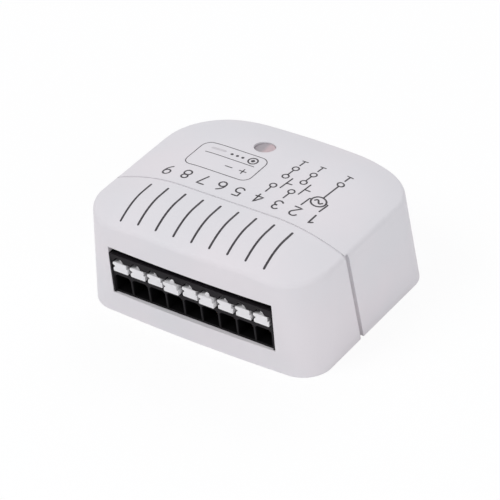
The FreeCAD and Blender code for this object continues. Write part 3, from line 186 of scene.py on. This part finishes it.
# green mask over a faint glass weave
def laminate(settings):
    material, tree, shader = newMaterial(settings["name"])
    coords = tree.nodes.new("ShaderNodeTexCoord").outputs["Object"]
    weave = tree.nodes.new("ShaderNodeTexChecker")
    weave.inputs["Scale"].default_value = settings["weaveScale"]
    weave.inputs["Color1"].default_value = (*settings["low"], 1)
    weave.inputs["Color2"].default_value = (*settings["high"], 1)
    tree.links.new(coords, weave.inputs["Vector"])
    tree.links.new(weave.outputs["Color"], shader.inputs["Base Color"])
    grain = noise(tree, coords, settings["grainScale"], detail=3)
    tree.links.new(span(tree, grain, *settings["roughness"]), shader.inputs["Roughness"])
    bumped(tree, shader, weave.outputs["Fac"], settings["weaveStrength"], settings["weaveDepth"])
    return material


def plasticKind(name, low, high, roughness, **more):
    settings = {
        "name": name, "low": low, "high": high, "roughness": roughness,
        "driftScale": 60, "grainScale": 5200, "grainStrength": 0.2, "grainDepth": 0.012 * mm,
        "specular": 0.4, "transmission": 0,
    }
    settings.update(more)
    return plastic(settings)


def metalKind(name, low, high, roughness, **more):
    settings = {"name": name, "low": low, "high": high, "roughness": roughness, "grainStrength": 0.15}
    settings.update(more)
    return metal(settings)


guideLow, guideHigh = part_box("prog_button")
guideMiddle = (guideLow[0] + guideHigh[0]) / 2
housingPlastic = plasticKind(
    "housingPlastic", low=(0.700, 0.690, 0.710), high=(0.732, 0.700, 0.720), roughness=(0.52, 0.64),
    edge=0.14 * mm, specular=0.35,
)
blockPlastic = plasticKind(
    "blockPlastic", low=(0.0085, 0.0072, 0.009), high=(0.0125, 0.0105, 0.013), roughness=(0.45, 0.6),
    edge=0.06 * mm, grainStrength=0.3, specular=0.12,
    # painted shade: the plastic goes near black behind the face, inside the wire entries that lie in shade
    turn=("Y", -18.0 * mm, -17.4 * mm, (0.0012, 0.001, 0.0013)),
)
buttonPlastic = plasticKind(
    "buttonPlastic", low=(0.73, 0.725, 0.735), high=(0.77, 0.76, 0.765), roughness=(0.38, 0.5),
    edge=0.07 * mm,
)
lightGuide = plasticKind(
    "lightGuide", low=(0.60, 0.46, 0.48), high=(0.66, 0.52, 0.54), roughness=(0.3, 0.42),
    driftScale=250, transmission=0.25,
    # painted shade: the half of the light guide towards -X turns greyer, as if lit from one side
    turn=("X", guideMiddle + 0.35 * mm, guideMiddle - 0.35 * mm, (0.41, 0.37, 0.395)),
)
relayPlastic = plasticKind(
    "relayPlastic", low=(0.012, 0.012, 0.014), high=(0.02, 0.02, 0.022), roughness=(0.4, 0.52), edge=0.1 * mm,
)
filmPlastic = plasticKind(
    "filmPlastic", low=(0.46, 0.31, 0.03), high=(0.52, 0.36, 0.05), roughness=(0.2, 0.3), edge=0.15 * mm,
)
sleevePlastic = plasticKind(
    "sleevePlastic", low=(0.012, 0.014, 0.03), high=(0.02, 0.022, 0.04), roughness=(0.18, 0.28),
)
varistorCoat = plasticKind(
    "varistorCoat", low=(0.012, 0.05, 0.24), high=(0.02, 0.07, 0.3), roughness=(0.2, 0.34), grainScale=1500,
)
resistorCoat = plasticKind(
    "resistorCoat", low=(0.16, 0.24, 0.2), high=(0.2, 0.29, 0.24), roughness=(0.42, 0.6), grainScale=2500,
)
chipEpoxy = plasticKind(
    "chipEpoxy", low=(0.008, 0.008, 0.009), high=(0.014, 0.014, 0.015), roughness=(0.5, 0.62), edge=0.08 * mm,
)
headerPlastic = plasticKind(
    "headerPlastic", low=(0.009, 0.009, 0.009), high=(0.014, 0.014, 0.014), roughness=(0.36, 0.5),
)
tapeWrap = plasticKind(
    "tapeWrap", low=(0.36, 0.26, 0.02), high=(0.42, 0.31, 0.035), roughness=(0.2, 0.32), grainScale=900,
)
ceramicWhite = plasticKind(
    "ceramicWhite", low=(0.58, 0.58, 0.52), high=(0.64, 0.64, 0.59), roughness=(0.5, 0.66), grainScale=3500,
)
ledLens = plasticKind(
    "ledLens", low=(0.8, 0.72, 0.38), high=(0.86, 0.8, 0.5), roughness=(0.12, 0.2), transmission=0.3,
)
printInk = plasticKind(
    "printInk", low=(0.028, 0.024, 0.029), high=(0.04, 0.035, 0.041), roughness=(0.5, 0.62),
    driftScale=900, grainDepth=0.003 * mm,
)
printGrey = plasticKind(
    "printGrey", low=(0.53, 0.51, 0.53), high=(0.6, 0.575, 0.595), roughness=(0.5, 0.62),
    driftScale=900, grainDepth=0.003 * mm,
)
springSteel = metalKind(
    "springSteel", low=(0.5, 0.49, 0.46), high=(0.58, 0.57, 0.54), roughness=(0.24, 0.36),
    streak=(1, 12, 12), grainScale=1200, driftScale=400, grainDepth=0.004 * mm,
)
contactCopper = metalKind(
    "contactCopper", low=(0.66, 0.43, 0.27), high=(0.72, 0.5, 0.33), roughness=(0.22, 0.36),
    streak=(12, 1, 12), grainScale=1200, driftScale=300, grainDepth=0.004 * mm,
)
pinMetal = metalKind(
    "pinMetal", low=(0.72, 0.53, 0.2), high=(0.78, 0.6, 0.26), roughness=(0.16, 0.28),
    streak=(12, 12, 1), grainScale=1500, driftScale=500, grainDepth=0.003 * mm,
)
shieldCan = metalKind(
    "shieldCan", low=(0.55, 0.55, 0.54), high=(0.62, 0.62, 0.6), roughness=(0.26, 0.4),
    streak=(1, 8, 1), grainScale=900, driftScale=120, grainDepth=0.005 * mm,
)
boardLaminate = laminate({
    "name": "boardLaminate", "low": (0.006, 0.07, 0.025), "high": (0.008, 0.085, 0.032),
    "roughness": (0.28, 0.42), "weaveScale": 1600, "weaveStrength": 0.2, "weaveDepth": 0.01 * mm,
    "grainScale": 2500,
})

nodeMaterials = {
    "rear_cover": housingPlastic, "front_cover": housingPlastic, "terminal_housing": blockPlastic,
    "prog_button": lightGuide, "contact_bars": contactCopper, "main_board": boardLaminate,
    "relay_1": relayPlastic, "relay_2": relayPlastic, "mains_capacitor": filmPlastic,
    "smoothing_capacitor": sleevePlastic, "varistor": varistorCoat, "fuse_resistor": resistorCoat,
    "rectifier": chipEpoxy, "transformer": tapeWrap, "power_controller": chipEpoxy,
    "optocouplers": chipEpoxy, "header_socket": headerPlastic, "header_carrier": headerPlastic,
    "header_pins": pinMetal, "radio_board": boardLaminate, "radio_module": shieldCan,
    "chip_antenna": ceramicWhite, "prog_switch": headerPlastic, "prog_switch_stem": headerPlastic,
    "status_led": ledLens,
}
for i in range(wayCount):
    nodeMaterials["release_button_%d" % (i + 1)] = buttonPlastic
    nodeMaterials["clamp_spring_%d" % (i + 1)] = springSteel
for node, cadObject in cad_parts.items():
    for place in cadObject.material_slots:
        place.material = nodeMaterials[node]
print("materials set")


# Pieces that stand for CAD nodes

sharpAngle = math.radians(24)


def merged(node):
    work = bmesh.new()
    work.from_mesh(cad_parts[node].data)
    bmesh.ops.remove_doubles(work, verts=work.verts, dist=weld)
    return work


def standIn(name, work, material):
    mesh = bpy.data.meshes.new(name)
    work.to_mesh(mesh)
    work.free()
    mesh.polygons.foreach_set("use_smooth", [True] * len(mesh.polygons))
    mesh.set_sharp_from_angle(angle=sharpAngle)
    mesh.materials.append(material)
    piece = placed(name, mesh)
    return piece


# shading normals of the CAD surfaces, carried over corner by corner to a merged copy
def keptNormals(mesh, node):
    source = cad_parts[node].data
    tree = kdtree.KDTree(len(source.polygons))
    for face in source.polygons:
        tree.insert(face.center, face.index)
    tree.balance()
    corners = [source.vertices[loop.vertex_index].co for loop in source.loops]
    normals = [None] * len(mesh.loops)
    for face in mesh.polygons:
        twin = source.polygons[tree.find(face.center)[1]]
        for loop in face.loop_indices:
            place = mesh.vertices[mesh.loops[loop].vertex_index].co
            nearest = min(twin.loop_indices, key=lambda index: (corners[index] - place).length)
            normals[loop] = source.corner_normals[nearest].vector.copy()
    return normals


# the roof falls towards the back along a parabola, and the boss round the programming button ends
# level with it
roof = {"height": 20.3, "start": 4.425, "reach": 12.8, "fall": 2.9}
boss = {"near": 3.3 * mm, "slack": 0.02 * mm, "sliver": 0.002 * mm}
button = Vector((guideMiddle, (guideLow[1] + guideHigh[1]) / 2))


def pastStart(place):
    return max(0, (place.y / mm - roof["start"]) / roof["reach"])


def roofLevel(place):
    return (roof["height"] - roof["fall"] * pastStart(place) ** 2) * mm


def roofNormal(place):
    return Vector((0, 2 * roof["fall"] * pastStart(place) / roof["reach"], 1)).normalized()


def nearButton(place):
    return (place.xy - button).length < boss["near"]


work = merged("rear_cover")
for vertex in work.verts:
    level = roofLevel(vertex.co)
    if nearButton(vertex.co) and vertex.co.z > level - boss["slack"]:
        vertex.co.z = level
bmesh.ops.dissolve_degenerate(work, dist=boss["sliver"], edges=work.edges)
rearShell = standIn("rear_shell", work, housingPlastic)
mesh = rearShell.data
normals = keptNormals(mesh, "rear_cover")
for face in mesh.polygons:
    corners = [mesh.vertices[index].co for index in face.vertices]
    if all(nearButton(place) and abs(place.z - roofLevel(place)) <= boss["slack"] for place in corners):
        for loop, place in zip(face.loop_indices, corners):
            normals[loop] = roofNormal(place)
mesh.normals_split_custom_set(normals)
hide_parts("rear_cover")
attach(rearShell, rootBody)

# each clamp spring is merged and cut across at set heights below its root; it is not bent here
leaf = {"root": 9.9, "press": 7.8, "cuts": (9.1, 8.8, 8.5, 8.2, 7.9, 7.4, 6.8, 6.1, 5.5)}
for i in range(wayCount):
    node = "clamp_spring_%d" % (i + 1)
    work = merged(node)
    for level in leaf["cuts"]:
        everything = work.verts[:] + work.edges[:] + work.faces[:]
        bmesh.ops.bisect_plane(
            work, geom=everything, dist=weld, plane_co=(0, 0, level * mm), plane_no=(0, 0, 1),
        )
    piece = standIn("spring_leaf_%d" % (i + 1), work, springSteel)
    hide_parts(node)
    low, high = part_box(node)
    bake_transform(piece)
print("shell and springs placed")


# Printed label: flat strips laid on the top

def coverSurface():
    points = []
    faces = []
    for node in ("front_cover", "rear_cover"):
        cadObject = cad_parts[node]
        start = len(points)
        points += [cadObject.matrix_world @ vertex.co for vertex in cadObject.data.vertices]
        faces += [[start + index for index in face.vertices] for face in cadObject.data.polygons]
    return BVHTree.FromPolygons(points, faces)


coverTree = coverSurface()
inkHeight = 0.012 * mm
longestRun = 0.45 * mm
capSteps = 8
discPoints = 24
circlePoints = 32
topLevel = cadBox[1][2]


def laid(point):
    start = Vector((point[0], point[1], topLevel + mm))
    hit = coverTree.ray_cast(start, Vector((0, 0, -1)))[0]
    return Vector((point[0], point[1], hit.z + inkHeight))


# cuts a line of points into short runs, so that a strip follows the crowned top
def divided(points, closed):
    fine = []
    runs = list(zip(points, points[1:] + points[:1] if closed else points[1:]))
    for start, end in runs:
        start, end = Vector(start), Vector(end)
        steps = max(1, math.ceil((end - start).length / longestRun))
        fine += [start.lerp(end, k / steps) for k in range(steps)]
    return fine if closed else fine + [Vector(points[-1])]


# strip of even width along a line of points, with round ends if it is open
def stroke(work, points, width, closed=False):
    points = divided(points, closed)
    half = width / 2
    count = len(points)
    left = []
    right = []
    for i, point in enumerate(points):
        before = points[i - 1] if closed or i else point
        after = points[(i + 1) % count] if closed or i < count - 1 else point
        heading = (after - before).normalized()
        side = Vector((-heading.y, heading.x)) * half
        left.append(work.verts.new(laid(point + side)))
        right.append(work.verts.new(laid(point - side)))
    for i in range(count if closed else count - 1):
        j = (i + 1) % count
        work.faces.new((right[i], right[j], left[j], left[i]))
    if closed:
        return
    for index, inner in ((0, 1), (count - 1, count - 2)):
        heading = (points[index] - points[inner]).normalized()
        start = math.atan2(heading.y, heading.x) - math.pi / 2
        turns = [start + math.pi * k / capSteps for k in range(capSteps + 1)]
        cap = [points[index] + Vector((math.cos(turn), math.sin(turn))) * half for turn in turns]
        work.faces.new([work.verts.new(laid(place)) for place in cap])


def line(start, end):
    return [Vector(start) * mm, Vector(end) * mm]


def arc(middle, radius, start, end, count):
    middle = Vector(middle) * mm
    turns = [start + (end - start) * k / (count - 1) for k in range(count)]
    return [middle + Vector((math.cos(turn), math.sin(turn))) * radius * mm for turn in turns]


def fullRing(middle, radius, count):
    return arc(middle, radius, 0, 2 * math.pi * (count - 1) / count, count)


def disc(work, middle, radius):
    work.faces.new([work.verts.new(laid(place)) for place in fullRing(middle, radius, discPoints)])


def circle(work, middle, radius, width):
    stroke(work, fullRing(middle, radius, circlePoints), width * mm, closed=True)


def labelPiece(name, work, material):
    mesh = bpy.data.meshes.new(name)
    bmesh.ops.recalc_face_normals(work, faces=work.faces)
    for face in work.faces:
        if face.normal.z < 0:
            face.normal_flip()
    work.to_mesh(mesh)
    work.free()
    mesh.materials.append(material)
    piece = placed(name, mesh)
    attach(piece, rootBody)


# the rear shell's lip comes up between the shells on the top
seam = {"y": -7.75, "width": 0.24, "depth": 0.17, "reach": 20.3, "beside": 0.3, "halfSteps": 48}
work = bmesh.new()
rungs = []
for k in range(2 * seam["halfSteps"] + 1):
    x = seam["reach"] * (k / seam["halfSteps"] - 1)
    level = min(laid((x * mm, (seam["y"] + side) * mm)).z for side in (-seam["beside"], seam["beside"]))
    level -= inkHeight + seam["depth"] * mm
    edges = [seam["y"] + side * seam["width"] / 2 for side in (-1, 1)]
    rungs.append([work.verts.new((x * mm, y * mm, level)) for y in edges])
for before, after in zip(rungs, rungs[1:]):
    work.faces.new((before[0], after[0], after[1], before[1]))
labelPiece("seam_lip", work, housingPlastic)

# a line leads from each way to its number
guides = {"width": 0.37, "front": -17.48, "back": -9.53, "pitch": 3.22, "shift": 0.02, "skew": 0.014}
work = bmesh.new()
for i in range(wayCount):
    x = (i - (wayCount - 1) / 2) * guides["pitch"] + guides["shift"]
    front = guides["front"] + guides["skew"] * x
    stroke(work, line((x, guides["back"]), (x, front)), guides["width"] * mm)
labelPiece("label_guides", work, printInk)
print("seam and guide lines laid")

# wiring picture: two switches, a motor and the ends of the supply
wiring = {"width": 0.26, "ring": 0.52, "barWidth": 0.9, "stub": 1.5, "stubSlant": 0.05}
switches = (
    {
        "upper": (4.25, 4.86), "lower": (4.02, 2.33), "lever": ((5.33, 2.28), (5.02, -0.72)),
        "tick": (6.1, 0.83), "end": (3.73, -0.7), "tail": (3.63, -2.67),
    },
    {
        "upper": (7.55, 4.78), "lower": (7.33, 2.27), "lever": ((8.66, 2.22), (8.37, -0.8)),
        "tick": (9.47, 0.69), "end": (7.08, -0.77), "tail": (6.92, -2.8),
    },
)
supplies = ((4.36, 7.45), (7.64, 7.45), (12.4, 7.65))
motor = {
    "middle": (11.92, -0.72), "radius": 1.2, "width": 0.3, "neutral": (12.32, 4.97),
    "waveReach": 0.66, "waveHeight": 0.36, "waveSteps": 24,
    "hooks": (
        ((10.78, -0.72), (10.4, -0.8), (10.2, -2.88)),
        ((13.03, -0.5), (13.47, -0.56), (13.25, -2.64)),
    ),
}
thin = wiring["width"]
ring = wiring["ring"]


def between(start, end, startGap, endGap):
    start, end = Vector(start), Vector(end)
    heading = (end - start).normalized()
    return line(start + heading * startGap, end - heading * endGap)


def drawSwitch(work, switch):
    for place in ("upper", "lower", "end"):
        circle(work, switch[place], ring, thin)
    stroke(work, between(switch["upper"], switch["lower"], ring, ring), thin * mm)
    stroke(work, between(switch["end"], switch["tail"], ring, 0), thin * mm)
    stroke(work, line(*switch["lever"]), thin * mm)
    middle = (Vector(switch["lever"][0]) + Vector(switch["lever"][1])) / 2
    stroke(work, line(middle, switch["tick"]), thin * mm)


def drawSupply(work, x, y):
    halfBar = wiring["barWidth"] / 2
    stroke(work, line((x - halfBar, y), (x + halfBar, y)), thin * mm)
    stroke(work, line((x, y), (x - wiring["stubSlant"], y - wiring["stub"])), thin * mm)


def drawMotor(work):
    circle(work, motor["middle"], motor["radius"], motor["width"])
    wave = []
    for k in range(motor["waveSteps"] + 1):
        share = 2 * k / motor["waveSteps"]
        offset = (motor["waveReach"] * (share - 1), motor["waveHeight"] * math.sin(math.pi * share))
        wave.append((Vector(motor["middle"]) + Vector(offset)) * mm)
    stroke(work, wave, motor["width"] * mm)
    circle(work, motor["neutral"], ring, thin)
    stroke(work, between(motor["middle"], motor["neutral"], motor["radius"], ring), thin * mm)
    for hook in motor["hooks"]:
        stroke(work, [Vector(place) * mm for place in hook], thin * mm)


work = bmesh.new()
for switch in switches:
    drawSwitch(work, switch)
for x, y in supplies:
    drawSupply(work, x, y)
drawMotor(work)
labelPiece("label_wiring", work, printInk)
print("wiring picture laid")

# box beside the programming button, with a push-button sign, three taps, plus, minus and a grey mark
box = {
    "left": -12.3, "right": -0.28, "front": -2.08, "back": 4.78, "corner": 1.5, "cornerPoints": 9,
    "width": 0.15, "divider": ((-10.66, 2.08), (-1.62, 2.01)),
}
sign = {
    "button": (-2.6, 3.3), "ring": 0.78, "ringWidth": 0.26, "core": 0.34,
    "taps": (-4.5, -5.5, -6.5), "tap": 0.26,
    "plus": (-2.4, 0.1), "minus": (-5.0, 0.1), "reach": 0.6, "width": 0.2,
    "mark": ((-10.2, 3.44), (-7.9, 3.48)), "markWidth": 0.5,
}
work = bmesh.new()
boxOutline = []
boxCorners = (
    (box["right"], box["back"]), (box["left"], box["back"]),
    (box["left"], box["front"]), (box["right"], box["front"]),
)
for quarter, (x, y) in enumerate(boxCorners):
    signX = 1 if x == box["right"] else -1
    signY = 1 if y == box["back"] else -1
    middle = (x - signX * box["corner"], y - signY * box["corner"])
    start = quarter * math.pi / 2
    boxOutline += arc(middle, box["corner"], start, start + math.pi / 2, box["cornerPoints"])
stroke(work, boxOutline, box["width"] * mm, closed=True)
stroke(work, line(*box["divider"]), box["width"] * mm)
circle(work, sign["button"], sign["ring"], sign["ringWidth"])
disc(work, sign["button"], sign["core"])
for x in sign["taps"]:
    disc(work, (x, sign["button"][1]), sign["tap"])
bars = ((sign["plus"], (1, 0)), (sign["plus"], (0, 1)), (sign["minus"], (1, 0)))
for middle, heading in bars:
    halfBar = Vector(heading) * sign["reach"]
    stroke(work, line(Vector(middle) - halfBar, Vector(middle) + halfBar), sign["width"] * mm)
labelPiece("label_box", work, printInk)
work = bmesh.new()
stroke(work, line(*sign["mark"]), sign["markWidth"] * mm)
labelPiece("label_mark", work, printGrey)
print("box laid")

# plain numbers for the ways, read from the back: each is drawn round its middle, between tall and -tall
digits = {"y": -4.83, "width": 0.29, "tall": 1.12, "bowSteps": 16}
digitPlaces = (13.45, 10.35, 7.15, 3.7, 0.17, -3.04, -6.27, -9.5, -12.9)


def bow(x, y, radius, start, end):
    steps = digits["bowSteps"]
    turns = [math.radians(start + (end - start) * k / steps) for k in range(steps + 1)]
    return [(x + radius * math.cos(turn), y + radius * math.sin(turn)) for turn in turns]


def upsideDown(way):
    return [(-x, -y) for x, y in way]


tall = digits["tall"]
upperRing = bow(0, 0.56, 0.52, 90, 450)
lowerRing = bow(0, -0.5, 0.62, 90, 450)
hook = bow(0.98, -0.3, 1.6, 118, 180)
digitWays = (
    ([(-0.4, 0.6), (0.1, tall), (0.1, -tall)],),
    (bow(0, 0.5, 0.62, 165, -40) + [(-0.62, -tall), (0.64, -tall)],),
    (bow(0, 0.56, 0.54, 150, -80), bow(0, -0.5, 0.62, 85, -150)),
    ([(0.3, -tall), (0.3, tall), (-0.66, -0.5), (0.68, -0.5)],),
    ([(0.55, tall), (-0.42, tall)] + bow(0, -0.42, 0.68, 128, -150),),
    (lowerRing, hook),
    ([(-0.62, tall), (0.62, tall), (-0.2, -tall)],),
    (upperRing, lowerRing),
    (upsideDown(lowerRing), upsideDown(hook)),
)
work = bmesh.new()
for ways, middle in zip(digitWays, digitPlaces):
    for way in ways:
        stroke(work, [Vector((middle - x, digits["y"] - y)) * mm for x, y in way], digits["width"] * mm)
labelPiece("label_numbers", work, printInk)
print("numbers laid")


# Floor, light and camera

# 1 for the rays named, on which the backdrop shows plain white
def seenBy(tree, rays):
    path = tree.nodes.new("ShaderNodeLightPath")
    share = path.outputs[rays[0]]
    for ray in rays[1:]:
        most = tree.nodes.new("ShaderNodeMath")
        most.operation = "MAXIMUM"
        tree.links.new(share, most.inputs[0])
        tree.links.new(path.outputs[ray], most.inputs[1])
        share = most.outputs["Value"]
    return share


def mixedShader(tree, share, first, second):
    mix = tree.nodes.new("ShaderNodeMixShader")
    tree.links.new(share, mix.inputs["Fac"])
    tree.links.new(first, mix.inputs[1])
    tree.links.new(second, mix.inputs[2])
    return mix.outputs["Shader"]


# most of the shadow on the floor is lifted, as on a cut-out picture
floor = {"reach": 3.0, "white": 0.97, "roughness": 0.9, "specular": 0.1, "glow": 0.9}
reach = floor["reach"]
floorCorners = [(-reach, -reach, 0), (reach, -reach, 0), (reach, reach, 0), (-reach, reach, 0)]
floorMesh = bpy.data.meshes.new("floor")
floorMesh.from_pydata(floorCorners, [], [(0, 1, 2, 3)])
floorMaterial, tree, shader = newMaterial("floorWhite")
shader.inputs["Base Color"].default_value = (floor["white"], floor["white"], floor["white"], 1)
shader.inputs["Roughness"].default_value = floor["roughness"]
shader.inputs["Specular IOR Level"].default_value = floor["specular"]
seen = seenBy(tree, ("Is Camera Ray", "Is Glossy Ray"))
glow = tree.nodes.new("ShaderNodeEmission")
glow.inputs["Color"].default_value = (1, 1, 1, 1)
tree.links.new(seen, glow.inputs["Strength"])
lifted = tree.nodes.new("ShaderNodeMath")
lifted.operation = "MULTIPLY"
lifted.inputs[1].default_value = floor["glow"]
tree.links.new(seen, lifted.inputs[0])
surface = mixedShader(tree, lifted.outputs["Value"], shader.outputs["BSDF"], glow.outputs["Emission"])
tree.links.new(surface, tree.nodes["Material Output"].inputs["Surface"])
floorMesh.materials.append(floorMaterial)
floorObject = placed("floor", floorMesh)

sky = {"colour": (0.95, 0.95, 1.0, 1), "strength": 0.55}
world = bpy.data.worlds.new("studio")
bpy.context.scene.world = world
world.use_nodes = True
tree = world.node_tree
background = tree.nodes["Background"]
background.inputs["Color"].default_value = sky["colour"]
background.inputs["Strength"].default_value = sky["strength"]
white = tree.nodes.new("ShaderNodeBackground")
white.inputs["Color"].default_value = (1, 1, 1, 1)
seen = seenBy(tree, ("Is Camera Ray", "Is Glossy Ray", "Is Transmission Ray"))
surface = mixedShader(tree, seen, background.outputs["Background"], white.outputs["Background"])
tree.links.new(surface, tree.nodes["World Output"].inputs["Surface"])

lamps = {
    "keyLamp": {"place": (-0.18, -0.30, 0.42), "size": 0.30, "power": 1.05},
    "fillLamp": {"place": (0.42, -0.18, 0.22), "size": 0.35, "power": 0.5},
    "backLamp": {"place": (-0.1, 0.35, 0.35), "size": 0.30, "power": 0.5},
}
lampTarget = Vector((0, 0, 0.01))
for name, settings in lamps.items():
    lamp = bpy.data.lights.new(name, "AREA")
    lamp.shape = "DISK"
    lamp.size = settings["size"]
    lamp.energy = settings["power"]
    holder = placed(name, lamp)
    holder.location = settings["place"]
    holder.rotation_euler = (lampTarget - Vector(settings["place"])).to_track_quat("-Z", "Y").to_euler()

bpy.context.scene.view_settings.view_transform = "Standard"

# the focal length is in pixels of the photograph, the rest in degrees and mm
shot = {
    "azimuth": 35.103, "elevation": 35.153, "roll": -2.66, "distance": 423.881,
    "focal": 2686.094, "across": -2.233, "up": 4.689, "back": 1.17,
    "picture": 500, "sensor": 36, "near": 0.01,
}
azimuth = math.radians(shot["azimuth"])
elevation = math.radians(shot["elevation"])
roll = math.radians(shot["roll"])
backward = Vector((
    math.sin(azimuth) * math.cos(elevation), -math.cos(azimuth) * math.cos(elevation), math.sin(elevation)
))
level = (-backward).cross(Vector((0, 0, 1))).normalized()
upright = level.cross(-backward)
rightward = level * math.cos(roll) + upright * math.sin(roll)
upward = upright * math.cos(roll) - level * math.sin(roll)
spot = backward * shot["distance"] + rightward * shot["across"] + upward * shot["up"]
spot += Vector((0, shot["back"], 0))
lens = bpy.data.cameras.new("camera")
lens.sensor_width = shot["sensor"]
lens.sensor_fit = "HORIZONTAL"
lens.lens = shot["focal"] / shot["picture"] * shot["sensor"]
lens.clip_start = shot["near"]
camera = placed("camera", lens)
turn = Matrix((rightward, upward, backward)).transposed().to_4x4()
camera.matrix_world = Matrix.Translation(spot * mm) @ turn
bpy.context.scene.camera = camera
print("camera placed")
